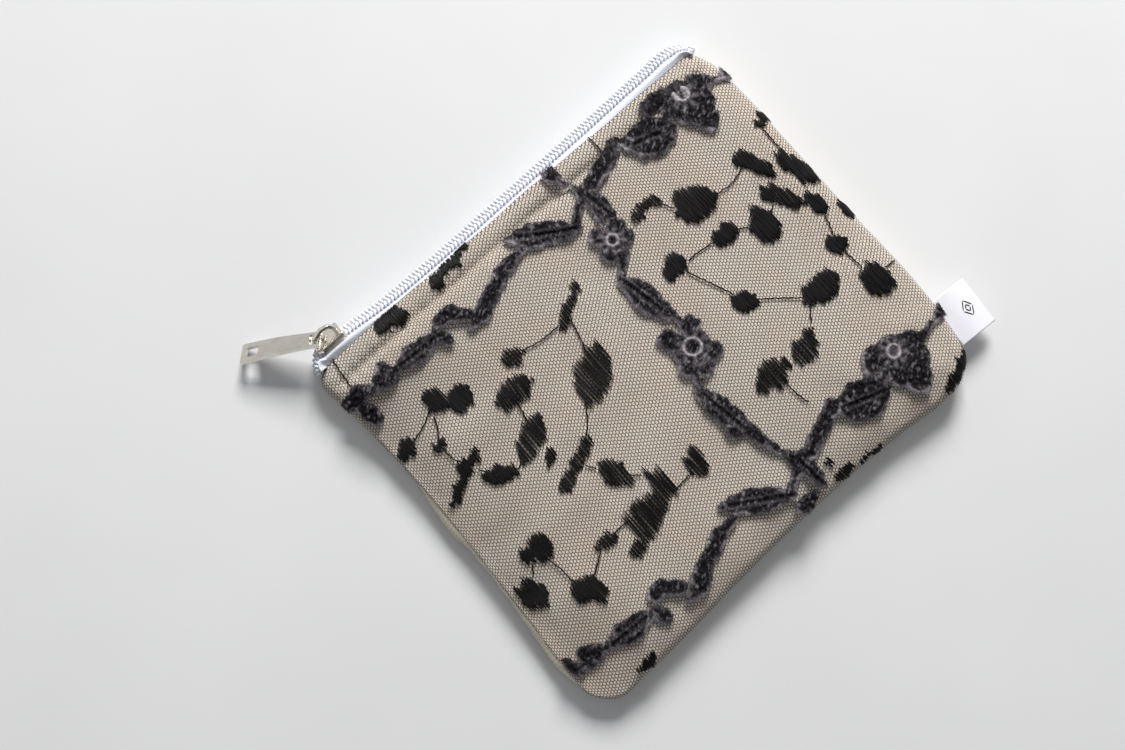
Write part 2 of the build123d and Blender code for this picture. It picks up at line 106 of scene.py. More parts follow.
def value_noise(x, y, size, seed):
    """Smooth random field from 0 to 1 whose lumps are about size across."""
    table = np.random.default_rng(seed).random((97, 89))
    u, v = x / size + 400, y / size + 400
    i, j = np.floor(u).astype(int), np.floor(v).astype(int)
    s, t = smoothstep(u - i), smoothstep(v - j)
    rows, cols = table.shape
    low = table[i % rows, j % cols] * (1 - s) + table[(i + 1) % rows, j % cols] * s
    high = table[i % rows, (j + 1) % cols] * (1 - s) + table[(i + 1) % rows, (j + 1) % cols] * s
    return low * (1 - t) + high * t


def grid_quads(index):
    """Quads over a grid of point numbers, facing up when columns run right and rows run up."""
    return np.stack([index[:-1, :-1], index[:-1, 1:], index[1:, 1:], index[1:, :-1]], axis=-1).reshape(-1, 4)


# ---- The sewn outline, seen from above, from the left end of the mouth round to the right end ----
SEWN_EDGE = [
    (-62.6, 53.0), (-65.3, 50.6), (-65.0, 42), (-63.8, 25), (-63.6, 8), (-64.2, -12), (-65.2, -32),
    (-66.0, -46), (-65.3, -53.5), (-60.5, -58.3), (-52, -58.4), (-40, -57.9), (-20, -56.4), (0, -55.4),
    (20, -55.1), (38, -55.7), (50, -56.7), (57.5, -55.6), (62.5, -50.5), (64.2, -43), (65.2, -30),
    (64.9, -5), (65, 20), (64.9, 38), (63.9, 47.5), (61.6, 52.8),
]
LEFT_CORNER = (-63.4, -56.4)
RIGHT_CORNER = (60.6, -53.6)
PAST_MOUTH = 10.0
edge_path = smooth_path(SEWN_EDGE, 0.3)
edge_path = np.vstack([
    edge_path[0] + np.linspace((0, PAST_MOUTH), (0, 0.3), 32),
    edge_path,
    edge_path[-1] + np.linspace((0, 0.3), (0, PAST_MOUTH), 32),
])
edge_along = arc_lengths(edge_path)
edge_tangent = unit(np.gradient(edge_path, axis=0))
edge_inward = np.stack([-edge_tangent[:, 1], edge_tangent[:, 0]], axis=1)


def nearest_edge(points):
    """For plan points: the foot on the sewn edge, the inward direction, the depth and the place."""
    index = np.empty(len(points), int)
    for start in range(0, len(points), 4000):
        part = points[start:start + 4000]
        gap = (part[:, None, 0] - edge_path[None, :, 0])**2 + (part[:, None, 1] - edge_path[None, :, 1])**2
        index[start:start + 4000] = np.argmin(gap, axis=1)
    tangent, inward = edge_tangent[index], edge_inward[index]
    offset = points - edge_path[index]
    slide = (offset * tangent).sum(1)
    foot = edge_path[index] + tangent * slide[:, None]
    depth = (offset * inward).sum(1)
    return foot, inward, depth, edge_along[index] + slide


# ---- Height of the two panels, as sheets wrapped over the padding ----
FOLD_RADIUS = 0.42
FLAT_STEP = 0.4
FLAT_X = np.arange(-72, 72.01, FLAT_STEP)
FLAT_Y = np.arange(-66, 61.01, FLAT_STEP)
FRONT_ROUND = (8.5, 4.3)
BACK_ROUND = (7.0, SEAM_Z)
HALF_WIDTH = front_high[0]
LEFT_SLUMP = 3.4
CROWN_RISE = CREST_Z - 0.1 - SEAM_Z - FRONT_ROUND[1]


def rounding(across, rise):
    """Arc length and angle along a quarter ellipse that starts upright at the seam."""
    angle = np.linspace(0, math.pi / 2, 300)
    speed = np.hypot(across * np.sin(angle), rise * np.cos(angle))
    length = np.concatenate([[0], np.cumsum((speed[1:] + speed[:-1]) / 2 * np.diff(angle))])
    return length, angle


def edge_excess(size):
    """How much wider the flat cloth is than the plan outline, because it goes round the edge."""
    return rounding(*size)[0][-1] - size[0]


def wrap(flat, depth, foot, inward, size):
    """Plan place, depth and angle of a flat point once the sheet goes round the sewn edge."""
    length, angle = rounding(*size)
    run = depth + edge_excess(size)
    theta = np.interp(run, length, angle)
    near = run < length[-1]
    plan_depth = np.where(near, size[0] * (1 - np.cos(theta)), depth)
    plan = np.where(near[:, None], foot + inward * plan_depth[:, None], flat)
    return plan, plan_depth, theta, np.minimum(run, 0)


def mouth_line(x):
    """Slightly wavy edge of the mouth."""
    return MOUTH_Y + 0.12 * np.sin(0.13 * x + 1) + 0.07 * np.sin(0.33 * x)


def front_relief(x, y, place, depth):
    """Dents, swells, the sewn ridge of the mouth and the puckers beside the seams."""
    mouth = mouth_line(x) - y
    waves = 0.16 * np.sin(0.085 * x + 0.05 * y + 1) + 0.12 * np.sin(0.04 * x - 0.13 * y + 2)
    waves += 0.9 * (value_noise(x, y, 17, 3) - 0.5) + 0.3 * (value_noise(x, y, 7.5, 4) - 0.5)
    valley = np.exp(-((x - 1.5 - 0.04 * y) / 5.0)**2) * smoothstep((y + 50) / 20) * smoothstep((34 - y) / 20)
    ridge = 0.5 * np.exp(-((mouth - 2.9) / 1.9)**2)
    strength = 0.75 + 0.6 * value_noise(x, y, 6, 5)
    dip = 1.15 * strength * np.exp(-((mouth - 6.0) / 1.1)**2)
    gathers = 0.12 * np.sin(x * 1.9 + 2 * value_noise(x, y, 9, 6)) * np.exp(-((mouth - 6.0) / 2.6)**2)
    slope = 1.2 * (1 - smoothstep(mouth / 12))
    pucker = np.sin(place * 1.35 + 5 * value_noise(place, place * 0, 11, 7)) * np.exp(-depth / 3.2)
    inside = smoothstep(depth / 6)
    return (waves - 0.42 * valley + ridge - dip + gathers - slope) * inside + 0.16 * pucker


def with_normals(points, sign):
    """A grid of places joined by the outward direction at each of them."""
    normals = np.cross(np.gradient(points, axis=1), np.gradient(points, axis=0)) * sign
    return np.concatenate([points, unit(normals)], axis=2)


def panel_field(front):
    """Place of every point of one flat panel, on a regular grid, with the outward direction."""
    gx, gy = np.meshgrid(FLAT_X, FLAT_Y)
    flat = np.stack([gx.ravel(), gy.ravel()], axis=1)
    foot, inward, depth, place = nearest_edge(flat)
    size = FRONT_ROUND if front else BACK_ROUND
    plan, plan_depth, theta, under = wrap(flat, depth, foot, inward, size)
    x, y = plan[:, 0], plan[:, 1]
    base_y = np.minimum(y, mouth_line(x))
    if front:
        z = SEAM_Z + under + size[1] * np.sin(theta)
        z += CROWN_RISE * (1 - np.exp(-(plan_depth / 28)**2))
        z += front_relief(x, base_y, place, plan_depth) * np.sin(theta)
        slump = LEFT_SLUMP * (0.3 + 0.7 * smoothstep((46 - base_y) / 22))
        z -= slump * (1 - smoothstep((x + HALF_WIDTH) / 19)) * np.sin(theta)
    else:
        z = SEAM_Z - under - size[1] * np.sin(theta)
        swell = smoothstep((-50 - x) / 9) * smoothstep((base_y + 55) / 12) * smoothstep((20 - base_y) / 14)
        ripple = 1.0 + 2.0 * value_noise(place, place * 0, 9, 8) + 0.6 * value_noise(place, place * 0, 3.2, 9)
        push = swell * ripple * 3 * np.sin(theta) * np.cos(theta)**3
        x, y = x - inward[:, 0] * push, y - inward[:, 1] * push
    sign = 1 if front else -1
    turn_start = mouth_line(x) - FOLD_RADIUS
    past = np.maximum(y - turn_start, 0)
    angle = np.minimum(past / FOLD_RADIUS, math.pi)
    folded_y = turn_start + FOLD_RADIUS * np.sin(angle) - np.maximum(past - math.pi * FOLD_RADIUS, 0)
    y = np.where(past > 0, folded_y, y)
    z = z - sign * FOLD_RADIUS * (1 - np.cos(angle))
    return with_normals(np.stack([x, y, z], axis=1).reshape(*gx.shape, 3), sign)


def sample(field, flat, lift):
    """Smoothly interpolated place of flat points, raised off the panel by lift."""
    u = (flat[..., 0] - FLAT_X[0]) / FLAT_STEP
    v = (flat[..., 1] - FLAT_Y[0]) / FLAT_STEP
    i = np.clip(np.floor(u).astype(int), 1, len(FLAT_X) - 3)
    j = np.clip(np.floor(v).astype(int), 1, len(FLAT_Y) - 3)
    s, t = (u - i)[..., None], (v - j)[..., None]

    def weights(q):
        return (
            -0.5 * q + q**2 - 0.5 * q**3, 1 - 2.5 * q**2 + 1.5 * q**3,
            0.5 * q + 2 * q**2 - 1.5 * q**3, -0.5 * q**2 + 0.5 * q**3,
        )

    total = 0
    for row, wv in enumerate(weights(t)):
        for col, wu in enumerate(weights(s)):
            total = total + wu * wv * field[j + row - 1, i + col - 1]
    return total[..., :3] + unit(total[..., 3:]) * np.asarray(lift, float)[..., None]


# ---- Cloth simulation of the padded front ----
SIM_SKIP = 4
SIM_SCALE = 0.01
SIM_FRAMES = 24
SIM_SLACK = 0.006
PUCKER_LIMIT = 0.55


def smoothed(grid, spread):
    """Gaussian blur of a grid; spread is in cells."""
    reach = int(3 * spread) + 1
    kernel = np.exp(-(np.arange(-reach, reach + 1) / spread)**2 / 2)
    kernel /= kernel.sum()
    padded = np.pad(grid, reach, mode="edge")
    rows = np.apply_along_axis(np.convolve, 0, padded, kernel, "valid")
    return np.apply_along_axis(np.convolve, 1, rows, kernel, "valid")


def simulated_rise(field):
    """Rise in millimetres of the front cloth, cut a little too large, pinned at its seams and pushed out."""
    flat_x, flat_y = np.meshgrid(FLAT_X[::SIM_SKIP], FLAT_Y[::SIM_SKIP])
    flat = np.stack([flat_x.ravel(), flat_y.ravel()], axis=1)
    start = field[::SIM_SKIP, ::SIM_SKIP, :3].reshape(-1, 3)
    depth = nearest_edge(flat)[2] + edge_excess(FRONT_ROUND)
    kept = (depth > -3) & (flat[:, 1] < MOUTH_Y + 2)
    pinned = (depth < 1.2) | (flat[:, 1] > MOUTH_Y - 3)
    quads = grid_quads(np.arange(flat_x.size).reshape(flat_x.shape))
    mesh = bpy.data.meshes.new("trial_cloth")
    mesh.from_pydata((start * SIM_SCALE).tolist(), [], quads[kept[quads].all(axis=1)].tolist())
    sheet = bpy.data.objects.new("trial_cloth", mesh)
    bpy.context.scene.collection.objects.link(sheet)
    pins = sheet.vertex_groups.new(name="sewn")
    pins.add(np.nonzero(pinned)[0].tolist(), 1.0, "REPLACE")
    cloth = sheet.modifiers.new("cloth", "CLOTH")
    settings = cloth.settings
    settings.quality = 8
    settings.vertex_group_mass = "sewn"
    settings.mass = 0.25
    settings.tension_stiffness = 25
    settings.compression_stiffness = 25
    settings.shear_stiffness = 12
    settings.bending_stiffness = 0.4
    settings.shrink_min = -SIM_SLACK
    settings.use_pressure = True
    settings.uniform_pressure_force = 0.7
    settings.effector_weights.gravity = 0
    cloth.collision_settings.use_collision = False
    cloth.point_cache.frame_start = 1
    cloth.point_cache.frame_end = SIM_FRAMES
    for step in range(1, SIM_FRAMES + 1):
        bpy.context.scene.frame_set(step)
    result = sheet.evaluated_get(bpy.context.evaluated_depsgraph_get())
    places = np.empty(start.size)
    result.data.vertices.foreach_get("co", places)
    bpy.context.scene.frame_set(1)
    bpy.data.objects.remove(sheet)
    bpy.data.meshes.remove(mesh)
    return (places.reshape(-1, 3)[:, 2] / SIM_SCALE - start[:, 2]).reshape(flat_x.shape)


def with_puckers(field):
    """Add the simulated folds and puckers to the front, without the broad swelling it already has."""
    rise = smoothed(simulated_rise(field), 0.6)
    folds = rise - smoothed(rise, 4.5)
    across = np.stack([np.interp(FLAT_X, FLAT_X[::SIM_SKIP], row) for row in folds])
    fine = np.stack([np.interp(FLAT_Y, FLAT_Y[::SIM_SKIP], column) for column in across.T], axis=1)
    fine = PUCKER_LIMIT * np.tanh(smoothed(fine, 1.6) / PUCKER_LIMIT)
    flat_x, flat_y = np.meshgrid(FLAT_X, FLAT_Y)
    depth = nearest_edge(np.stack([flat_x.ravel(), flat_y.ravel()], axis=1))[2].reshape(flat_x.shape)
    fade = smoothstep((depth + edge_excess(FRONT_ROUND) - 1.0) / 4) * smoothstep((MOUTH_Y - 2 - flat_y) / 3)
    points = field[..., :3].copy()
    points[..., 2] += fine * fade
    return with_normals(points, 1)


front_field = with_puckers(panel_field(True))
back_field = panel_field(False)


def on_front(flat, lift):
    """Points of the front panel's surface, raised by lift."""
    return sample(front_field, np.asarray(flat, float), np.broadcast_to(lift, np.shape(flat)[:-1]))


def on_back(flat, lift):
    """Points of the back panel's surface, raised outward by lift."""
    return sample(back_field, np.asarray(flat, float), np.broadcast_to(lift, np.shape(flat)[:-1]))


# ---- Turning arrays into named pieces ----
def make_piece(name, points, faces, material, replaces=(), smooth=True):
    """Link a mesh piece that rides on the pouch and stands for the given CAD nodes."""
    mesh = bpy.data.meshes.new(name)
    rows = []
    for group in faces:
        rows.extend(np.asarray(group).tolist())
    mesh.from_pydata((np.asarray(points).reshape(-1, 3) * MM).tolist(), [], rows)
    mesh.polygons.foreach_set("use_smooth", [smooth] * len(mesh.polygons))
    mesh.materials.append(material)
    mesh.update()
    piece = bpy.data.objects.new(name, mesh)
    bpy.context.scene.collection.objects.link(piece)
    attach(piece, "pouch")
    if replaces:
        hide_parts(*replaces)
    return piece


def paint(piece, label, values):
    """Store one number per point for the material to read."""
    layer = piece.data.attributes.new(label, "FLOAT", "POINT")
    layer.data.foreach_set("value", np.asarray(values, np.float32).ravel())


def slab(outer, inner, flip=False):
    """Closed thin shell between two grids of points."""
    rows, cols = outer.shape[:2]
    index = np.arange(rows * cols).reshape(rows, cols)
    rim = np.concatenate([index[0, :], index[1:, -1], index[-1, -2::-1], index[-2:0:-1, 0]])
    after = np.roll(rim, -1)
    shift = rows * cols
    walls = np.stack([after, rim, rim + shift, after + shift], axis=1)
    quads = np.concatenate([grid_quads(index), grid_quads(index + shift)[:, ::-1], walls])
    points = np.concatenate([outer.reshape(-1, 3), inner.reshape(-1, 3)])
    return points, [quads[:, ::-1] if flip else quads]


def sweep(paths, across, up, section, swell=None):
    """Closed thread-like bodies: each path carries the section, given as (across, up) pairs."""
    count, steps = paths.shape[:2]
    section = np.asarray(section, float)
    sides = len(section)
    swell = np.ones(steps) if swell is None else np.asarray(swell, float)
    swell = np.broadcast_to(swell, (count, steps))[..., None, None]
    ring = across[:, :, None, :] * section[None, None, :, :1] + up[:, :, None, :] * section[None, None, :, 1:]
    points = paths[:, :, None, :] + ring * swell
    index = np.arange(count * steps * sides).reshape(count, steps, sides)
    after = np.roll(index, -1, axis=2)
    walls = np.stack([index[:, :-1], after[:, :-1], after[:, 1:], index[:, 1:]], axis=-1).reshape(-1, 4)
    caps = []
    for j in range(sides // 2 - 1):
        corner = [j, j + 1, sides - 2 - j, sides - 1 - j]
        caps.append(index[:, 0][:, corner][:, ::-1])
        caps.append(index[:, -1][:, corner])
    return points.reshape(-1, 3), [np.concatenate([walls] + caps)]


def polygon_section(sides, width, height):
    """Rounded section as a polygon."""
    angle = np.arange(sides) * TURN / sides
    return np.stack([width / 2 * np.cos(angle), height / 2 * np.sin(angle)], axis=1)


HALF_ROUND = np.array([(0.5, 0.0), (0.34, 0.8), (-0.34, 0.8), (-0.5, 0.0)])
END_TAPER = np.array([0.35, 0.85, 1, 1, 1, 1, 1, 0.85, 0.35])


def surface_threads(flat_paths, width, height, lift):
    """Half-round threads with tapered ends, lying on the front panel along flat paths."""
    centre = on_front(flat_paths, lift)
    above = on_front(flat_paths, lift + 0.5)
    up = unit(above - centre)
    across = unit(np.cross(np.gradient(centre, axis=1), up))
    return sweep(centre, across, up, HALF_ROUND * (width, height), END_TAPER)


# ---- Node materials ----
def linear(red, green, blue):
    """Screen colour from 0 to 255 as the linear colour that shaders take."""
    out = []
    for value in (red, green, blue):
        v = value / 255
        out.append(v / 12.92 if v <= 0.04045 else ((v + 0.055) / 1.055) ** 2.4)
    return (*out, 1.0)


class Look:
    """A node material under construction."""

    def __init__(self, name, **settings):
        self.material = bpy.data.materials.new(name)
        self.material.use_nodes = True
        self.tree = self.material.node_tree
        self.shader = self.tree.nodes["Principled BSDF"]
        for socket, value in settings.items():
            self.shader.inputs[socket.replace("_", " ")].default_value = value
        self.coords = self.node("ShaderNodeTexCoord").outputs["Object"]

    def node(self, kind, links=None, **settings):
        """Add a node; settings are its properties, and links its inputs by name or number."""
        node = self.tree.nodes.new(kind)
        for key, value in settings.items():
            setattr(node, key, value)
        for key, value in (links or {}).items():
            if isinstance(value, bpy.types.NodeSocket):
                self.tree.links.new(value, node.inputs[key])
            else:
                node.inputs[key].default_value = value
        return node

    def math(self, operation, first, second=0.0):
        """One arithmetic step."""
        return self.node("ShaderNodeMath", {0: first, 1: second}, operation=operation).outputs[0]

    def mapped(self, scale=(1, 1, 1), turn=0.0):
        """Coordinates in millimetres, turned about the vertical and scaled."""
        size = tuple(s / MM for s in scale)
        links = {"Vector": self.coords, "Scale": size, "Rotation": (0, 0, turn)}
        return self.node("ShaderNodeMapping", links).outputs[0]

    def noise(self, size, detail=4.0, scale=(1, 1, 1), turn=0.0, roughness=0.6):
        """Noise with lumps of the given size in millimetres."""
        place = self.mapped(scale, turn)
        links = {"Vector": place, "Scale": 1 / size, "Detail": detail, "Roughness": roughness}
        return self.node("ShaderNodeTexNoise", links).outputs[0]

    def ribs(self, pitch, axis=0, turn=0.0, wobble=0.0):
        """Even ribs from 0 to 1, that repeat each pitch millimetres along one axis."""
        split = self.node("ShaderNodeSeparateXYZ", {0: self.mapped(turn=turn)})
        place = split.outputs[axis]
        if wobble:
            shift = self.math("MULTIPLY", self.noise(2.5, 2.0), wobble)
            place = self.math("ADD", place, shift)
        wave = self.math("SINE", self.math("MULTIPLY", place, TURN / pitch))
        return self.math("ADD", self.math("MULTIPLY", wave, 0.5), 0.5)

    def weave(self, pitch, wobble=0.3):
        """Over-and-under threads of a plain weave."""
        warp = self.math("MULTIPLY", self.ribs(pitch, 0, wobble=wobble), self.ribs(2 * pitch, 1))
        weft = self.math("MULTIPLY", self.ribs(pitch, 1, wobble=wobble), self.ribs(2 * pitch, 0))
        return self.math("MAXIMUM", warp, weft)

    def ramp(self, factor, stops):
        """Colour ramp from (place, colour) stops."""
        node = self.node("ShaderNodeValToRGB", {0: factor})
        elements = node.color_ramp.elements
        while len(elements) < len(stops):
            elements.new(0.5)
        for element, (place, colour) in zip(elements, stops):
            element.position = place
            element.color = colour
        return node.outputs[0]

    def blend(self, factor, first, second, kind="MIX"):
        """Mix two colours."""
        node = self.node("ShaderNodeMix", data_type="RGBA", blend_type=kind)
        for socket, value in ((0, factor), (6, first), (7, second)):
            if isinstance(value, bpy.types.NodeSocket):
                self.tree.links.new(value, node.inputs[socket])
            else:
                node.inputs[socket].default_value = value
        return node.outputs[2]

    def attribute(self, label):
        """Number stored on the mesh."""
        return self.node("ShaderNodeAttribute", attribute_name=label).outputs["Fac"]

    def colour(self, socket):
        """Use a colour for the surface."""
        self.tree.links.new(socket, self.shader.inputs["Base Color"])
        return self

    def rough(self, factor, low, high):
        """Roughness that varies between two values."""
        node = self.node("ShaderNodeMapRange", {0: factor, 3: low, 4: high})
        self.tree.links.new(node.outputs[0], self.shader.inputs["Roughness"])
        return self

    def bump(self, height, depth, strength=1.0):
        """Relief of the given depth in millimetres."""
        links = {"Height": height, "Distance": depth * MM, "Strength": strength}
        node = self.node("ShaderNodeBump", links)
        if self.shader.inputs["Normal"].links:
            self.tree.links.new(self.shader.inputs["Normal"].links[0].from_socket, node.inputs["Normal"])
        self.tree.links.new(node.outputs[0], self.shader.inputs["Normal"])
        return self


def make_beige_cloth():
    look = Look("beige_cotton", Roughness=0.85, Sheen_Weight=0.12, Sheen_Roughness=0.6)
    look.shader.inputs["Specular IOR Level"].default_value = 0.25
    threads = look.weave(0.36)
    patches = look.noise(14, 3)
    tone = look.ramp(patches, [(0.3, linear(253, 236, 220)), (0.7, linear(255, 245, 232))])
    shade = look.ramp(threads, [(0.0, (0.82, 0.80, 0.78, 1)), (0.7, (1, 1, 1, 1))])
    look.colour(look.blend(1.0, tone, shade, "MULTIPLY"))
    look.rough(look.noise(1.2), 0.75, 0.95)
    return look.bump(threads, 0.06).material


def make_net():
    look = Look("black_tulle", Roughness=0.62)
    look.shader.inputs["Specular IOR Level"].default_value = 0.35
    grain = look.noise(0.5, 3)
    look.colour(look.ramp(grain, [(0.3, linear(14, 12, 11)), (0.75, linear(32, 28, 26))]))
    look.rough(grain, 0.5, 0.75)
    return look.bump(look.ribs(0.11, 1, 0.5), 0.02).material


def make_felt():
    look = Look("charcoal_felt", Roughness=0.95)
    look.shader.inputs["Specular IOR Level"].default_value = 0.06
    fluff = look.noise(0.7, 6, roughness=0.7)
    strands = look.noise(0.35, 4, scale=(1, 0.25, 1), turn=0.6)
    dark = look.ramp(fluff, [(0.3, linear(6, 6, 8)), (0.55, linear(25, 23, 27)), (0.8, linear(74, 69, 76))])
    # The pale colour stands for lighter fibres and also for a painted highlight along one side of the felt
    # rims; the stored number decides where it shows.
    pale_and_highlight = look.ramp(strands, [
        (0.25, linear(106, 99, 106)), (0.55, linear(172, 165, 172)), (0.85, linear(232, 227, 230)),
    ])
    pale_and_highlight_mask = look.math("MULTIPLY", look.attribute("pale_and_highlight"), look.math("ADD", strands, 0.6))
    look.colour(look.blend(look.math("MINIMUM", pale_and_highlight_mask, 1.0), dark, pale_and_highlight))
    look.bump(fluff, 0.35)
    return look.bump(strands, 0.15).material


def make_satin_thread():
    look = Look("black_satin_thread", Roughness=0.42)
    look.shader.inputs["Specular IOR Level"].default_value = 0.16
    strands = look.noise(0.25, 3, scale=(1, 0.12, 1))
    look.colour(look.ramp(strands, [(0.3, linear(9, 8, 9)), (0.75, linear(26, 23, 24))]))
    look.rough(strands, 0.35, 0.6)
    return look.bump(strands, 0.05).material


def make_batting():
    look = Look("polyester_batting", Roughness=0.95, Sheen_Weight=0.3)
    fluff = look.noise(1.6, 6, roughness=0.7)
    look.colour(look.ramp(fluff, [(0.3, linear(214, 212, 206)), (0.75, linear(244, 243, 240))]))
    return look.bump(fluff, 0.5).material


def make_plain_weave(name, dark, light, pitch, depth, sheen=0.15):
    look = Look(name, Roughness=0.85, Sheen_Weight=sheen)
    look.shader.inputs["Specular IOR Level"].default_value = 0.25
    threads = look.weave(pitch)
    slubs = look.noise(3.0, 4, scale=(1, 0.2, 1))
    tone = look.blend(look.math("MULTIPLY", slubs, 0.6), light, dark)
    shade = look.ramp(threads, [(0.0, (0.78, 0.77, 0.75, 1)), (0.75, (1, 1, 1, 1))])
    look.colour(look.blend(1.0, tone, shade, "MULTIPLY"))
    look.rough(slubs, 0.75, 0.95)
    return look.bump(threads, depth).material


def make_tape():
    look = Look("white_zipper_tape", Roughness=0.7, Sheen_Weight=0.2)
    stripe = look.ribs(2.6, 1)
    leaning = look.ribs(0.42, 0, 0.8)
    other = look.ribs(0.42, 0, -0.8)
    side = look.math("GREATER_THAN", stripe, 0.5)
    twill = look.math("ADD", look.math("MULTIPLY", leaning, side),
                      look.math("MULTIPLY", other, look.math("SUBTRACT", 1.0, side)))
    look.colour(look.ramp(twill, [(0.0, linear(208, 211, 223)), (0.7, linear(226, 229, 239))]))
    look.rough(twill, 0.6, 0.8)
    return look.bump(twill, 0.025).material


def make_coil():
    look = Look("white_nylon_coil", Roughness=0.32, Subsurface_Weight=0.15, Coat_Weight=0.2)
    look.shader.inputs["Subsurface Radius"].default_value = (0.0006, 0.0006, 0.0007)
    rub = look.noise(0.9, 3)
    look.colour(look.ramp(rub, [(0.3, linear(218, 221, 231)), (0.7, linear(238, 240, 248))]))
    look.rough(rub, 0.25, 0.42)
    return look.bump(rub, 0.03).material


def make_nickel():
    look = Look("nickel_plating", Metallic=1.0, Roughness=0.2)
    cloudy = look.noise(3.5, 4)
    fine = look.noise(0.25, 3, scale=(0.15, 1, 1), turn=0.6)
    look.colour(look.ramp(cloudy, [(0.3, linear(212, 206, 196)), (0.7, linear(226, 222, 214))]))
    look.rough(look.noise(1.5, 5), 0.14, 0.3)
    return look.bump(fine, 0.006).material


def make_label():
    look = Look("white_satin_ribbon", Roughness=0.45, Sheen_Weight=0.3, Anisotropic=0.4)
    ribs = look.ribs(0.3, 1, wobble=0.15)
    grain = look.noise(0.6, 3, scale=(1, 0.3, 1))
    look.colour(look.ramp(ribs, [(0.0, linear(222, 222, 232)), (0.7, linear(240, 240, 247))]))
    look.rough(grain, 0.38, 0.6)
    return look.bump(ribs, 0.03).material


def make_thread(name, dark, light):
    look = Look(name, Roughness=0.65, Sheen_Weight=0.2)
    ply = look.ribs(0.22, 0, 0.9)
    look.colour(look.ramp(ply, [(0.1, dark), (0.8, light)]))
    look.rough(look.noise(0.6), 0.55, 0.75)
    return look.bump(ply, 0.04).material


beige_cotton = make_beige_cloth()
black_tulle = make_net()
charcoal_felt = make_felt()
satin_thread = make_satin_thread()
white_batting = make_batting()
cream_canvas = make_plain_weave("cream_canvas", linear(232, 219, 196), linear(250, 242, 226), 0.55, 0.12)
lining_cotton = make_plain_weave("lining_cotton", linear(222, 219, 210), linear(240, 238, 232), 0.32, 0.05)
zipper_tape = make_tape()
nylon_coil = make_coil()
nickel = make_nickel()
ribbon = make_label()
beige_thread = make_thread("beige_sewing_thread", linear(176, 160, 140), linear(214, 200, 182))
white_thread = make_thread("white_sewing_thread", linear(206, 208, 218), linear(238, 239, 245))


# ---- Panels: cloth, batting and lining of both sides ----
def cut_line(path, top):
    """One side of the outline, from its lower end up to the given height."""
    above = np.nonzero(path[:, 1] >= top)[0]
    if not len(above):
        return path
    last = above[0]
    low, high = path[last - 1], path[last]
    share = (top - low[1]) / (high[1] - low[1])
    return np.vstack([path[:last], low + (high - low) * share])


def panel_grid(size, top, cols, rows):
    """Flat grid that fills the outline of one panel, with its rows and columns closer at the edges."""
    outline = edge_path - edge_inward * edge_excess(size)
    left_turn = np.argmin(np.linalg.norm(edge_path - LEFT_CORNER, axis=1))
    right_turn = np.argmin(np.linalg.norm(edge_path - RIGHT_CORNER, axis=1))
    left = cut_line(outline[left_turn::-1], top)
    right = cut_line(outline[right_turn:], top)
    bottom = outline[left_turn:right_turn + 1]
    upper = np.stack([left[-1], right[-1]])

    def spaced(count):
        u = np.linspace(0, 1, count)
        return u - 0.8 * np.sin(TURN * u) / TURN

    s, t = spaced(cols), spaced(rows)
    low_edge = along_path(bottom, s * arc_lengths(bottom)[-1])
    high_edge = along_path(upper, s * arc_lengths(upper)[-1])
    left_edge = along_path(left, t * arc_lengths(left)[-1])
    right_edge = along_path(right, t * arc_lengths(right)[-1])
    s, t = s[None, :, None], t[:, None, None]
    across = (1 - s) * left_edge[:, None] + s * right_edge[:, None]
    upward = (1 - t) * low_edge[None] + t * high_edge[None]
    corners = (1 - t) * ((1 - s) * left[0] + s * right[0]) + t * ((1 - s) * left[-1] + s * right[-1])
    return across + upward - corners


HEM = math.pi * FOLD_RADIUS + 4.0
LAYERS = {
    "cloth": (0.0, -0.22, HEM, 170, 150),
    "batting": (-0.5, -1.55, -6.2, 80, 70),
    "lining": (-1.65, -1.85, -0.5, 80, 70),
}


def panel_piece(side, layer, material):
    """One layer of the front or back panel."""
    outer, inner, past_mouth, cols, rows = LAYERS[layer]
    front = side == "front"
    place = on_front if front else on_back
    grid = panel_grid(FRONT_ROUND if front else BACK_ROUND, MOUTH_Y + past_mouth, cols, rows)
    points, faces = slab(place(grid, outer), place(grid, inner), flip=not front)
    node = f"{side}_{layer}"
    return make_piece(f"{node}_soft", points, faces, material, [node])


front_cloth = panel_piece("front", "cloth", beige_cotton)
front_batting = panel_piece("front", "batting", white_batting)
front_lining = panel_piece("front", "lining", lining_cotton)
back_cloth = panel_piece("back", "cloth", cream_canvas)
back_batting = panel_piece("back", "batting", white_batting)
back_lining = panel_piece("back", "lining", lining_cotton)


# ---- Tulle net over the front: six-sided meshes of real strands ----
MESH_WIDE, MESH_HIGH = 1.39, 1.03
MESH_POINT = 0.475
STRAND = 0.165
NET_LIFT = 0.34
NET_HEM = 0.9
NET_MARGIN = 0.12


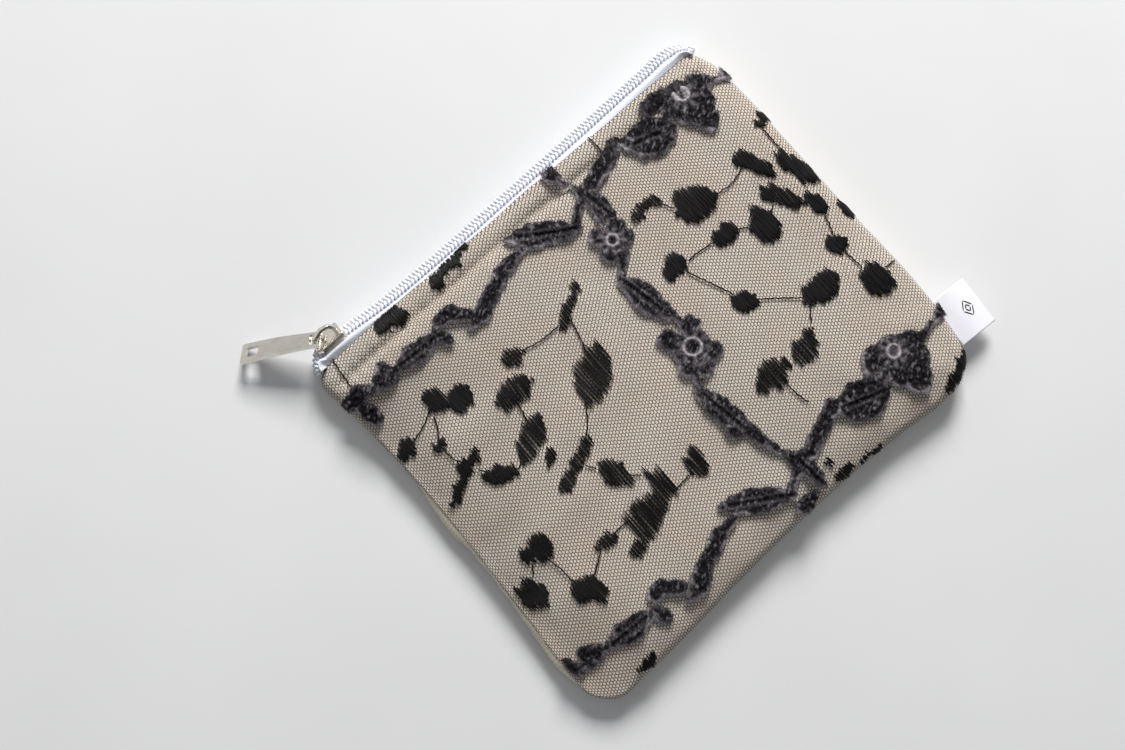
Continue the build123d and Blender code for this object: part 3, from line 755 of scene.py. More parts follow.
def net_piece():
    """Knots lie at the two points of each mesh, and each left knot has three strands."""
    cols = np.arange(-52, 53)
    rows = np.arange(-125, 112)
    col, row = np.meshgrid(cols, rows)
    centre_x = (col + 0.5 * (row % 2)) * MESH_WIDE
    centre_y = row * MESH_HIGH / 2
    knots = np.stack([
        np.stack([centre_x + MESH_POINT, centre_y], axis=-1),
        np.stack([centre_x - MESH_POINT, centre_y], axis=-1),
    ])
    drift_x = 0.5 * np.sin(0.045 * knots[..., 1] + 0.6) + 0.25 * np.sin(0.11 * knots[..., 0])
    drift_y = 0.6 * np.sin(0.04 * knots[..., 0] + 1.2) + 0.2 * np.sin(0.09 * knots[..., 1])
    knots = knots + np.stack([drift_x, drift_y], axis=-1)
    knots += np.random.default_rng(11).normal(0, 0.022, knots.shape)
    total = col.size
    lean = row % 2

    def neighbour(step_col, step_row):
        """Number of the mesh some columns and rows away, or -1 past the end."""
        c = col + step_col + (lean if step_row else 0)
        r = row + step_row
        ok = (c <= cols[-1]) & (r >= rows[0]) & (r <= rows[-1])
        flat_index = (r - rows[0]) * len(cols) + (c - cols[0])
        return np.where(ok, flat_index, -1)

    links = np.stack([neighbour(1, 0), neighbour(0, 1), neighbour(0, -1)], axis=-1).reshape(-1, 3)
    left = knots[0].reshape(-1, 2)
    right = knots[1].reshape(-1, 2)
    slant = unit(np.array([MESH_WIDE / 2 - 2 * MESH_POINT, MESH_HIGH / 2]))
    out_dirs = np.array([(1.0, 0.0), slant, (slant[0], -slant[1])])

    def corners(centre, direction):
        """Three corners of a knot; corner k lies between strand k and strand k + 1."""
        points = []
        for first, second in ((0, 1), (1, 2), (2, 0)):
            middle = out_dirs[first] + out_dirs[second]
            middle /= np.linalg.norm(middle)
            spread = abs(out_dirs[first][0] * middle[1] - out_dirs[first][1] * middle[0])
            points.append(centre + direction * middle * (STRAND / 2 / spread))
        return np.stack(points, axis=1)

    flat = np.concatenate([corners(left, 1).reshape(-1, 2), corners(right, -1).reshape(-1, 2)])
    depth = nearest_edge(flat)[2]
    inside = (depth + edge_excess(FRONT_ROUND) > NET_MARGIN) & (flat[:, 1] < mouth_line(flat[:, 0]) + NET_HEM)
    knot_in = inside.reshape(-1, 3).all(axis=1)
    knot_number = np.arange(2 * total) * 3
    triangles = knot_number[:, None] + np.array([0, 1, 2])
    triangles[total:] = triangles[total:, ::-1]
    triangles = triangles[knot_in]
    quads = []
    for strand in range(3):
        other = links[:, strand]
        ok = (other >= 0) & knot_in[:total] & knot_in[total + np.maximum(other, 0)]
        a = np.nonzero(ok)[0] * 3
        b = (total + other[ok]) * 3
        before, after = (strand + 2) % 3, strand
        quads.append(np.stack([a + before, b + after, b + before, a + after], axis=1))
    quads = np.concatenate(quads)
    used = np.unique(np.concatenate([triangles.ravel(), quads.ravel()]))
    renumber = np.full(len(flat), -1)
    renumber[used] = np.arange(len(used))
    points = on_front(flat[used], NET_LIFT)
    return make_piece("front_net_mesh", points, [renumber[triangles], renumber[quads]], black_tulle,
                      ["front_net"], smooth=False)


front_net = net_piece()


# ---- Embroidered motifs as fields: positive inside, in millimetres ----
def turned(x, y, cx, cy, angle):
    """Coordinates along and across a motif that is turned by angle degrees."""
    c, s = math.cos(math.radians(angle)), math.sin(math.radians(angle))
    return (x - cx) * c + (y - cy) * s, -(x - cx) * s + (y - cy) * c


def leaf_field(x, y, cx, cy, length, width, angle):
    u, v = turned(x, y, cx, cy, angle)
    radius = (length**2 + width**2) / (4 * width)
    return radius - np.hypot(u, np.abs(v) + radius - width / 2)


def blob_field(x, y, cx, cy, half_long, half_wide, angle=0):
    u, v = turned(x, y, cx, cy, angle)
    return (1 - np.hypot(u / half_long, v / half_wide)) * min(half_long, half_wide)


def strip_field(x, y, x1, y1, x2, y2, r1, r2):
    dx, dy = x2 - x1, y2 - y1
    t = np.clip(((x - x1) * dx + (y - y1) * dy) / (dx * dx + dy * dy), 0, 1)
    return r1 + (r2 - r1) * t - np.hypot(x - x1 - t * dx, y - y1 - t * dy)


FIELDS = {"leaf": leaf_field, "blob": blob_field, "strip": strip_field}


def motif_field(x, y, motifs):
    """Union of several motifs."""
    total = np.full(np.shape(x), -50.0)
    for kind, *numbers in motifs:
        total = np.maximum(total, FIELDS[kind](x, y, *numbers))
    return total


def ragged_field(x, y, motifs, seed):
    """Union of motifs whose outline wanders as hand-guided stitching does."""
    wander = 1.5 * (value_noise(x, y, 1.9, seed) - 0.5) + 0.7 * (value_noise(x, y, 0.8, seed + 1) - 0.5)
    return motif_field(x, y, motifs) + wander


TOP_CHAIN = [
    ("blob", -61.3, 41.3, 4.4, 2.5, 5), ("blob", -61.3, 36.3, 2.5, 4.4, 8),
    ("strip", -58, 40, -54, 40.2, 0.6, 0.7), ("blob", -53.8, 40.3, 2.3, 1.9, 30),
    ("blob", -51.4, 41.7, 1.9, 2.3, -10), ("blob", -52.5, 38.7, 3.0, 1.4, -5),
    ("strip", -50.5, 39.6, -47, 39.8, 0.8, 0.9), ("leaf", -42.3, 39.5, 14.5, 5.6, -4),
    ("blob", -34.6, 38.0, 1.7, 2.7, 25), ("blob", -31.2, 41.6, 3.4, 1.9, 10),
    ("strip", -30, 41.4, -26.2, 38, 2.0, 1.6), ("blob", -23.6, 36.2, 3.9, 2.1, 5),
    ("strip", -22.5, 36.6, -12, 41, 1.9, 1.9), ("strip", -12, 41, -5, 41.6, 1.9, 0.9),
    ("leaf", 1.4, 41.4, 20.5, 6.4, -31), ("strip", 8, 37.6, 14.5, 41.5, 0.8, 1.3),
    ("blob", 15.5, 42.3, 2.2, 2.0, 20), ("strip", 19.5, 42.8, 30.5, 46.9, 1.9, 2.1),
    ("strip", 16, 42.5, 20, 43, 1.0, 1.5), ("leaf", 16.9, 38.4, 12.5, 4.6, 98),
    ("strip", 30.5, 47.3, 33, 44.8, 1.4, 1.2), ("leaf", 38.4, 42.3, 15, 10.2, -17),
    ("strip", 44, 43.5, 47, 43.5, 1.3, 1.5), ("blob", 46.4, 48.6, 4.8, 2.3, -6),
    ("blob", 51.2, 45.0, 6.2, 4.5, -20), ("blob", 57.2, 45.6, 3.4, 2.3, -35),
    ("blob", 52.8, 37.6, 3.3, 5.0, -12), ("blob", 49.5, 41.6, 3.2, 4.2, 10),
    ("blob", 54.6, 41.2, 3.6, 4.6, -10), ("strip", 58.5, 44.2, 62, 42.6, 1.2, 0.7),
    ("strip", 62, 42.6, 65.6, 42.2, 0.8, 1.4), ("strip", 64, 43.2, 65.4, 44.4, 0.6, 0.5),
]
COLUMN = [
    ("blob", 12.7, 51.2, 2.2, 2.4, 0), ("strip", 13.2, 49, 15.6, 44.2, 0.7, 0.6),
    ("blob", 11.0, 31.6, 2.1, 2.3, 20), ("blob", 16.2, 30.8, 2.3, 2.4, 0),
    ("blob", 10.9, 26.4, 1.9, 2.6, 0), ("blob", 16.4, 26.8, 2.2, 2.1, 0), ("blob", 13.6, 28.6, 3.4, 3.6, 0),
    ("blob", 13, 24, 2.2, 1.7, 0), ("strip", 13.8, 33.5, 14.6, 35.5, 0.8, 0.8),
    ("strip", 11.5, 23, 9.6, 19.6, 0.8, 0.7), ("leaf", 10.1, 12.0, 18, 6.6, 101),
    ("strip", 12.2, 4.6, 12.6, 1.5, 0.9, 0.8), ("blob", 7.2, 0.4, 2.6, 2.4, 30),
    ("blob", 13.6, -0.4, 2.7, 2.3, -20), ("blob", 6.6, -8.0, 2.3, 2.8, 0),
    ("blob", 14.0, -9.2, 2.8, 2.3, 20), ("blob", 10.4, -5.0, 5.2, 5.2, 0),
    ("blob", 9.6, -11.2, 2.6, 1.5, 0), ("strip", 6.5, -11, 5.2, -14.5, 0.7, 0.6),
    ("leaf", 5.9, -22.2, 19.5, 5.8, 101), ("blob", 5.0, -27.6, 1.9, 2.6, 20),
    ("strip", 7.4, -29.5, 9.4, -37.5, 1.9, 1.0),
]
BOTTOM_CHAIN = [
    ("blob", -64.4, -45.6, 1.6, 4.2, 5), ("strip", -64, -46.5, -60.5, -46.8, 0.7, 0.7),
    ("blob", -59.4, -44.6, 2.4, 2.1, -20), ("blob", -57.2, -46.2, 2.1, 2.4, 0),
    ("blob", -60, -47.4, 2.2, 1.3, 0), ("strip", -56, -46.8, -53, -47, 0.7, 0.8),
    ("leaf", -47.3, -47.4, 15.5, 5.9, -4), ("blob", -39.2, -49.4, 1.7, 2.7, 25),
    ("blob", -35.6, -44.6, 3.5, 2.1, 12), ("strip", -34.4, -44.9, -31, -48.2, 2.1, 1.6),
    ("blob", -27.8, -50.8, 3.7, 1.9, 3), ("strip", -26.8, -49.6, -16.5, -44.6, 1.9, 2.0),
    ("strip", -16.5, -44.6, -10, -43.6, 2.0, 1.0), ("leaf", -2.7, -44.2, 20.5, 6.6, -31),
    ("strip", 4, -48.4, 11, -44.5, 0.8, 1.3), ("blob", 11.9, -43.4, 2.2, 1.9, 20),
    ("strip", 15.4, -43.6, 27, -38.8, 1.8, 2.1), ("strip", 12, -43.8, 16, -43.6, 1.1, 1.5),
    ("strip", 10.2, -39.5, 11.8, -44, 1.1, 1.6), ("leaf", 12.4, -47.8, 11, 4.2, 96),
    ("blob", 6.8, -53.0, 4.2, 1.9, 5), ("strip", 27.5, -39.2, 29.5, -41.5, 1.3, 1.2),
    ("leaf", 34.3, -42.8, 15, 10.2, -17), ("strip", 40, -42.3, 43, -41.5, 1.3, 1.5),
    ("blob", 43.0, -37.0, 4.2, 2.6, 18), ("blob", 47.6, -39.6, 5.6, 4.9, -15),
    ("blob", 53.6, -39.8, 3.6, 2.3, -25), ("blob", 48.4, -47.0, 3.5, 4.7, -8),
    ("blob", 45.4, -43.4, 3.1, 3.8, 10), ("blob", 50.6, -43.0, 4.0, 4.6, -10),
    ("strip", 55.5, -40.6, 61, -39.8, 1.2, 0.7), ("strip", 61, -39.8, 65.6, -39.2, 0.9, 1.6),
]
TOP_RINGS = [(51.7, 45.0, 1.7, 0.75)]
COLUMN_RINGS = [(10.6, -5.0, 2.2, 0.0), (13.4, 28.6, 1.5, 0.0)]
BOTTOM_RINGS = [(47.6, -38.9, 1.6, 0.7)]

FELT_STEP = 0.23
FELT_LIFT = 0.42
FELT_FIBRES = 8500
FIBRE_HALF = 0.045


def felt_field(x, y, motifs, rings, seed):
    """Shape of the felt, positive inside, kept within the seams and the mouth."""
    field = motif_field(x, y, motifs)
    field += 0.95 * (value_noise(x, y, 1.7, seed) - 0.5) + 0.35 * (value_noise(x, y, 0.6, seed + 1) - 0.5)
    for cx, cy, _, hole in rings:
        if hole:
            field = np.minimum(field, np.hypot(x - cx, y - cy) - hole)
    in_sheet = nearest_edge(np.stack([x.ravel(), y.ravel()], axis=1))[2].reshape(x.shape) + 0.5
    return np.minimum(field, np.minimum(in_sheet, mouth_line(x) - 0.1 - y))


def felt_relief(x, y, field, grow_x, grow_y, slope, motifs, rings, seed):
    """Lift of the felt's lower face, its height, and how pale it is, at each point; the paleness is partly
    lighter fibres and partly a painted highlight on the rims that face one way.
    """
    depth = smoothstep(np.sqrt(np.clip(field / 1.3, 0, 1)))
    lumps = value_noise(x, y, 0.9, seed + 2)
    fine = value_noise(x, y, 0.45, seed + 3)
    height = 0.32 + depth * (0.5 + 0.55 * lumps) + 0.2 * (fine - 0.5)
    curl = smoothstep(1.5 * value_noise(x, y, 4.5, seed + 6) - 0.3) * np.exp(-np.clip(field, 0, 9) / 1.1)
    under = FELT_LIFT + 0.6 * curl
    pale_and_highlight = 1.9 * np.exp(-(np.clip(field, 0, 9) / 0.46)**2)
    # Painted highlight: the pale rim is made stronger along the edges on the lower-left side (towards minus x
    # and minus y), as if lit there, and weaker on the other sides.
    highlight_facing = (grow_x * 0.85 + grow_y * 0.5) / np.sqrt(slope)
    patchy = smoothstep(2.2 * value_noise(x, y, 2.6, seed + 4) - 0.55)
    pale_and_highlight *= np.clip(0.3 + 0.75 * highlight_facing, 0.03, 1) * (0.25 + 0.85 * patchy)
    streaks = value_noise(x + 0.6 * y, 2.2 * (y - 0.6 * x), 1.0, seed + 5)
    pale_and_highlight += 0.32 * smoothstep((streaks - 0.66) * 3) + 0.12 * smoothstep((fine - 0.66) * 3)
    for kind, *numbers in motifs:
        if kind == "leaf":
            cx, cy, length, _, angle = numbers
            u, v = turned(x, y, cx, cy, angle)
            along = smoothstep((length * 0.42 - np.abs(u)) / 2)
            height -= 0.45 * np.exp(-(v / 0.4)**2) * along
            pale_and_highlight += 0.1 * np.exp(-((np.abs(v) - 0.9) / 0.35)**2) * along
    for cx, cy, radius, _ in rings:
        away = np.hypot(x - cx, y - cy)
        band = np.exp(-((away - radius) / 0.42)**2)
        spokes = 0.5 + 0.5 * np.cos(9 * np.arctan2(y - cy, x - cx))
        height += 0.4 * band
        pale_and_highlight += 0.9 * band + 0.3 * spokes * np.exp(-((away - radius - 1.4) / 0.9)**2)
    return under, height, np.clip(pale_and_highlight, 0, 1)


def felt_hair(flat, used, field, grow_x, grow_y, under, height, rng):
    """Loose fibres, each a strip of five points, and the felt points that they grow from."""
    edge_weight = np.exp(-np.clip(field[used], 0, 5) / 0.45) + 0.12
    roots = used[rng.choice(len(used), FELT_FIBRES, p=edge_weight / edge_weight.sum())]
    base = flat[roots] + rng.uniform(-0.14, 0.14, (FELT_FIBRES, 2))
    near_edge = field[roots] < 0.7
    outward = np.arctan2(-grow_y[roots], -grow_x[roots])
    swing = rng.normal(0, 0.75, FELT_FIBRES)
    heading = np.where(near_edge, outward + swing, rng.uniform(0, TURN, FELT_FIBRES))
    length = rng.uniform(0.25, 0.8, FELT_FIBRES)
    bend = rng.normal(0, 0.7, FELT_FIBRES)
    step_1 = np.stack([np.cos(heading), np.sin(heading)], axis=1) * (length / 2)[:, None]
    step_2 = np.stack([np.cos(heading + bend), np.sin(heading + bend)], axis=1) * (length / 2)[:, None]
    lift_0 = under[roots] + height[roots] * 0.9
    lift_1 = lift_0 + rng.uniform(0.0, 0.22, FELT_FIBRES)
    lift_2 = np.where(near_edge, lift_0 * rng.uniform(0.4, 1.1, FELT_FIBRES), lift_0 + 0.1)
    side = np.stack([-step_1[:, 1], step_1[:, 0]], axis=1) / (length / 2)[:, None]
    hair_flat = np.stack([
        base + side * FIBRE_HALF, base - side * FIBRE_HALF,
        base + step_1 + side * FIBRE_HALF * 0.7, base + step_1 - side * FIBRE_HALF * 0.7,
        base + step_1 + step_2,
    ], axis=1)
    hair_lift = np.stack([lift_0, lift_0, lift_1, lift_1, lift_2], axis=1)
    return on_front(hair_flat, hair_lift).reshape(-1, 3), roots


def felt_piece(name, node, motifs, rings, seed):
    """Thick fuzzy felt cut to the motifs, with raised rings and loose fibres."""
    pad = 1.5
    rough_x, rough_y = np.meshgrid(np.arange(-70, 70, 1.0), np.arange(-60, 58, 1.0))
    hit = motif_field(rough_x, rough_y, motifs) > -1
    xs = np.arange(rough_x[hit].min() - pad, rough_x[hit].max() + pad, FELT_STEP)
    ys = np.arange(rough_y[hit].min() - pad, rough_y[hit].max() + pad, FELT_STEP)
    x, y = np.meshgrid(xs, ys)
    field = felt_field(x, y, motifs, rings, seed)
    grow_y, grow_x = np.gradient(field, FELT_STEP)
    slope = np.maximum(grow_x**2 + grow_y**2, 0.15)
    under, height, pale_and_highlight = felt_relief(x, y, field, grow_x, grow_y, slope, motifs, rings, seed)

    filled = (field[:-1, :-1] + field[:-1, 1:] + field[1:, 1:] + field[1:, :-1]) / 4 > 0
    quads = grid_quads(np.arange(x.size).reshape(x.shape))[filled.ravel()]
    ends = np.concatenate([quads[:, [k, (k + 1) % 4]] for k in range(4)])
    keys = ends[:, 0] * x.size + ends[:, 1]
    back_keys = ends[:, 1] * x.size + ends[:, 0]
    border = ends[~np.isin(keys, back_keys)]
    on_border = np.zeros(x.size, bool)
    on_border[border.ravel()] = True
    pull = np.clip(field / slope, -0.4, 0.4).ravel() * on_border
    x, y, field, grow_x, grow_y, under, height, pale_and_highlight = (
        values.ravel() for values in (x, y, field, grow_x, grow_y, under, height, pale_and_highlight)
    )
    flat = np.stack([x - pull * grow_x, y - pull * grow_y], axis=1)
    used = np.unique(quads)
    renumber = np.full(x.size, -1)
    renumber[used] = np.arange(len(used))
    quads, border = renumber[quads], renumber[border]
    top = on_front(flat[used], (under + height)[used])
    bottom = on_front(flat[used], under[used])
    shift = len(used)
    walls = np.stack([border[:, 1], border[:, 0], border[:, 0] + shift, border[:, 1] + shift], axis=1)
    faces = np.concatenate([quads, quads[:, ::-1] + shift, walls])

    rng = np.random.default_rng(seed + 9)
    hair, roots = felt_hair(flat, used, field, grow_x, grow_y, under, height, rng)
    first = 2 * shift + 5 * np.arange(FELT_FIBRES)[:, None]
    hair_quads = first + np.array([0, 1, 3, 2])
    hair_tips = first + np.array([2, 3, 4])
    points = np.concatenate([top, bottom, hair])
    piece = make_piece(name, points, [faces, hair_quads, hair_tips], charcoal_felt, [node])
    # Fibres carry the paleness of their roots, painted highlight included, with a random lighter tone added.
    hair_pale_and_highlight = np.clip(np.repeat(pale_and_highlight[roots] + rng.uniform(-0.1, 0.38, FELT_FIBRES), 5), 0, 1)
    paint(piece, "pale_and_highlight", np.concatenate([pale_and_highlight[used], pale_and_highlight[used] * 0.5, hair_pale_and_highlight]))


felt_piece("top_felt_chain_fuzzy", "top_felt_chain", TOP_CHAIN, TOP_RINGS, 21)
felt_piece("felt_column_fuzzy", "felt_column", COLUMN, COLUMN_RINGS, 41)
felt_piece("bottom_felt_chain_fuzzy", "bottom_felt_chain", BOTTOM_CHAIN, BOTTOM_RINGS, 61)


# ---- Satin-stitched patches and stems of black thread ----
DENSE_PATCHES = [
    [("blob", -46.2, 27.9, 2.9, 3.9, 12), ("blob", -41.6, 23.9, 3.7, 3.5, -30)],
    [("blob", -60.2, 23.2, 3.3, 2.3, 8)],
    [("blob", -53.0, 18.6, 1.8, 1.6, 0)],
    [("leaf", -54.5, 7.8, 14.5, 3.6, 27), ("blob", -50.3, 10.2, 3.6, 1.9, 10)],
    [("leaf", -46.0, 2.7, 10.5, 5.0, -33)],
    [("blob", -48.6, -32.6, 4.0, 3.2, 20), ("blob", -46.8, -35.8, 1.6, 2.4, -20)],
    [("blob", -50.6, -17.0, 2.8, 3.8, 0), ("blob", -54.0, -17.2, 2.4, 2.5, 40)],
    [("blob", -59.8, -25.0, 3.7, 4.8, 8)],
    [("blob", -49.0, -57.0, 3.3, 1.8, 0)],
    [("blob", -43.6, 51.3, 2.6, 2.6, -40), ("blob", -39.8, 50.6, 2.6, 3.2, 25)],
    [("strip", -26.6, 50.4, -16.2, 52.3, 1.8, 1.6)],
    [("blob", 35.6, 21.6, 5.6, 4.4, 0), ("blob", 34.0, 25.0, 2.2, 3.6, 0)],
    [("strip", 52.2, 23.4, 55.6, 16.6, 2.0, 2.1)],
    [("strip", 60.4, 17.6, 62.9, 8.4, 1.9, 2.2)],
    [("strip", 61.9, 27.3, 65.4, 27.9, 1.4, 1.5)],
    [("blob", 20.8, 13.2, 3.7, 2.5, 0), ("blob", 21.6, 14.8, 1.8, 2.4, 0)],
    [("blob", 35.7, 10.9, 3.5, 2.9, 0)],
    [("blob", 45.2, 6.4, 3.7, 5.4, 0), ("blob", 46.2, 9.2, 2.2, 3.4, 0)],
    [("strip", 52.0, 12.0, 55.2, 5.8, 2.4, 2.2)],
    [("blob", 59.5, 1.9, 1.9, 4.0, 6)],
    [("blob", 56.0, -9.4, 2.8, 2.9, 0)],
    [("blob", 57.6, -22.6, 3.5, 4.9, 5)],
    [("blob", 65.0, -4.5, 1.3, 3.2, 0)],
    [("blob", 28.4, -4.8, 3.1, 3.3, 0)],
    [("leaf", 45.2, -14.9, 11.5, 7.6, 0)],
    [("blob", 19.6, -53.6, 3.8, 1.7, 0), ("strip", 24, -54.8, 30, -55.3, 0.7, 0.6)],
    [("strip", 53.6, -55.2, 61.4, -52.2, 1.6, 1.7)],
    [("blob", 17.5, -49.0, 0.9, 0.8, 0)],
]
OPEN_PATCHES = [
    [("leaf", -34.7, 4.5, 14, 6.6, 36)],
    [("blob", -33.4, -1.8, 2.4, 1.5, 30)],
    [("blob", -30.2, 16.0, 5.2, 3.6, 0)],
    [("blob", -25.2, 23.0, 2.4, 3.2, 15), ("blob", -22.9, 22.6, 1.8, 1.6, 0)],
    [("strip", -10.2, 20.4, -1.6, 25.6, 1.4, 1.5)],
    [("leaf", -12.4, 6.4, 17, 9.4, 44), ("blob", -16.2, 4.0, 2.6, 3.4, 0)],
    [("strip", -35.9, -10.4, -24.6, -5.2, 1.6, 1.7)],
    [("blob", -24.6, -15.9, 3.2, 4.5, 12)],
    [("blob", -17.4, -24.8, 2.2, 5.0, 8), ("blob", -26.6, -26.0, 3.4, 1.7, 0),
     ("strip", -33.2, -34.4, -20.5, -29.3, 1.7, 2.3), ("blob", -20.8, -27.6, 3.4, 2.6, 0)],
    [("blob", -7.4, -26.8, 2.4, 4.2, -12), ("strip", -11.5, -28.2, -8, -28, 0.6, 1.2)],
    [("blob", -37.4, -27.2, 2.8, 1.4, 0)],
    [("strip", 22.6, 29.4, 27.4, 30.2, 1.4, 1.6), ("blob", 28.6, 28.8, 1.3, 2.2, 0)],
    [("blob", 31.4, -23.8, 3.8, 3.5, 10), ("strip", 33, -23, 36, -21, 2.0, 0.9)],
    [("blob", 21.6, -23.5, 3.0, 4.6, 0), ("blob", 18.0, -23.5, 2.0, 2.5, 0),
     ("blob", 25.0, -23.4, 1.8, 1.6, 0)],
]
STEMS = [
    [(-63.5, 21.2), (-61, 22.5)], [(-57.5, 23.6), (-53, 24.8), (-49.2, 26.6)],
    [(-49.4, 25), (-50.6, 22), (-52.6, 19.5)], [(-52.9, 17), (-52.6, 13), (-51, 10.8)],
    [(-49.8, 7.6), (-48.3, 4.8)], [(-43, 1), (-41.5, 1), (-39.6, 3)], [(-31.6, 13), (-32.6, 8.6)],
    [(-22, 22.6), (-17, 21.4), (-11, 21.2)], [(-7.6, 20.6), (-9, 15), (-10.5, 10.2)],
    [(-19.2, 1.2), (-21.5, -1.8), (-24, -4.2)], [(-29, -9.6), (-27.4, -12.2)],
    [(-22.4, -18.6), (-20, -20.6)], [(-57.2, -22), (-55, -19.4)],
    [(-51.4, -20.4), (-50.4, -25), (-50.2, -30)], [(-45.2, -31.6), (-42, -29.4), (-39.6, -27.6)],
    [(-35, -26.9), (-30, -26.8)], [(-16, -28.8), (-11.5, -28.4)], [(28.8, 28.4), (30.6, 24.6)],
    [(41, 20.2), (46, 19.9), (51, 21.2)], [(24.4, 12.2), (28, 12.1), (32.6, 11.6)],
    [(38.6, 10.6), (41.8, 8.6)], [(48.6, 7.6), (50.6, 8.8)], [(22.4, 10.2), (25, 4), (27.4, -1.6)],
    [(31, -6.6), (36, -10.4), (40.6, -14.4)], [(40.4, -16.2), (37, -20.2)],
    [(22.4, -27.8), (22.6, -31), (23.4, -34.4)], [(61.9, 26.2), (61.6, 19.4)], [(57, 3.8), (59, 3.4)],
    [(58.6, -1.6), (57.8, -4.6), (57, -6.8)], [(56.2, -12), (56.6, -18)], [(61, -21.8), (65, -22)],
    [(-60.4, 43), (-60.2, 48), (-59.6, 53)], [(26.7, 48), (26.8, 53)], [(8.6, -10.6), (7, -13)],
]
THREAD_POINTS = 9
SATIN_LIFT = 0.42
DENSE_PITCH = 0.36
OPEN_PITCH, OPEN_PAIR = 0.84, 0.28
STITCH_RUN, STITCH_OVERLAP = 1.15, 0.15


def patch_threads(motifs, pitch, pair, seed):
    """Upright threads that fill one patch, with uneven ends."""
    rng = np.random.default_rng(seed)
    gx, gy = np.meshgrid(np.arange(-70, 70, 0.5), np.arange(-62, 58, 0.5))
    hit = motif_field(gx, gy, motifs) > -0.4
    x_low, x_high = gx[hit].min(), gx[hit].max()
    y_low, y_high = gy[hit].min() - 1, gy[hit].max() + 1
    ys = np.arange(y_low, y_high, 0.08)
    lean = rng.normal(0, 0.05)
    paths = []
    column = x_low
    while column < x_high:
        for offset in ((-pair / 2, pair / 2) if pair else (0.0,)):
            place = column + offset + rng.normal(0, 0.03)
            inside = ragged_field(np.full_like(ys, place), ys, motifs, seed) > 0
            if inside.any():
                low = ys[inside][0] - rng.uniform(-0.7, 0.75)
                high = ys[inside][-1] + rng.uniform(-0.7, 0.75)
                if high - low > 0.5:
                    tilt = lean + rng.normal(0, 0.02)
                    t = np.linspace(0, 1, THREAD_POINTS)
                    bow = 0.06 * rng.normal() * np.sin(math.pi * t)
                    y = low + (high - low) * t
                    paths.append(np.stack([place + tilt * (y - (low + high) / 2) + bow, y], axis=1))
        column += pitch * rng.uniform(0.88, 1.12)
    return paths


def stem_threads(points, seed):
    """Short running stitches that overlap along a stem."""
    rng = np.random.default_rng(seed)
    path = smooth_path(points, 0.1)
    total = arc_lengths(path)[-1]
    count = max(1, int(round(total / STITCH_RUN)))
    paths = []
    for stitch in range(count):
        start = total * stitch / count - STITCH_OVERLAP
        end = total * (stitch + 1) / count + STITCH_OVERLAP
        shape = along_path(path, np.linspace(max(start, 0), min(end, total), THREAD_POINTS))
        run = shape[-1] - shape[0]
        side = np.array([-run[1], run[0]]) / max(np.linalg.norm(run), 1e-6)
        skew = np.linspace(-0.09, 0.09, THREAD_POINTS) * (1 if stitch % 2 else -1)
        paths.append(shape + side * skew[:, None] + rng.normal(0, 0.03, 2))
    return paths


def trim_to_sheet(paths):
    """Keep threads within the sewn edge and the mouth."""
    flat = paths.reshape(-1, 2).copy()
    _, inward, depth, _ = nearest_edge(flat)
    limit = 0.35 - edge_excess(FRONT_ROUND)
    push = np.maximum(limit - depth, 0)
    flat += inward * push[:, None]
    flat[:, 1] = np.minimum(flat[:, 1], mouth_line(flat[:, 0]) + 0.3)
    return flat.reshape(paths.shape)


dense_paths = []
for number, patch in enumerate(DENSE_PATCHES):
    dense_paths += patch_threads(patch, DENSE_PITCH, 0.0, 100 + number)
open_paths = []
for number, patch in enumerate(OPEN_PATCHES):
    open_paths += patch_threads(patch, OPEN_PITCH, OPEN_PAIR, 200 + number)
stem_paths = []
for number, stem in enumerate(STEMS):
    stem_paths += stem_threads(stem, 300 + number)


def satin_piece():
    """All the black embroidery as one piece."""
    groups = (
        (dense_paths, 0.46, 0.3), (open_paths, 0.38, 0.3), (stem_paths, 0.36, 0.26),
    )
    points, faces, offset = [], [], 0
    for paths, width, height in groups:
        made, quads = surface_threads(trim_to_sheet(np.array(paths)), width, height, SATIN_LIFT)
        points.append(made)
        faces.append(quads[0] + offset)
        offset += len(made)
    return make_piece("satin_embroidery", np.concatenate(points), faces, satin_thread,
                      ["satin_stitching"])


satin_piece()


# ---- Zipper: curved chain, two tapes and two coils ----
CHAIN_TILT = math.radians(50)
slider_low, slider_high = node_box("slider_body")
CHAIN_Y = (slider_low[1] + slider_high[1]) / 2
CHAIN_Z = (slider_low[2] + slider_high[2]) / 2
CHAIN_END_TILT = math.radians(20)
CHAIN_BENDS = [
    (-64.7, -5.0), (-64.5, -3.6), (-63.8, -2.1), (-62.6, -0.9), (-61.0, -0.2), (-59.2, 0.0), (-56, 0.0),
    (-52.5, -0.15), (-42, -1.05), (-20, -1.4), (0, -1.1), (30, -0.6), (49, -0.1), (57, 0.0), (60.0, -0.7),
    (62.2, -2.2), (63.4, -4.2),
]
COIL_PITCH = 1.12
COIL_WIRE = 0.31
COIL_SIDE = 0.95
COIL_REACH = 0.75
COIL_HEIGHT = 0.5
CORD_SECTION = (1.0, 0.7)

chain_path = smooth_path([(x, CHAIN_Y + dy) for x, dy in CHAIN_BENDS], 0.15)
chain_length = arc_lengths(chain_path)[-1]


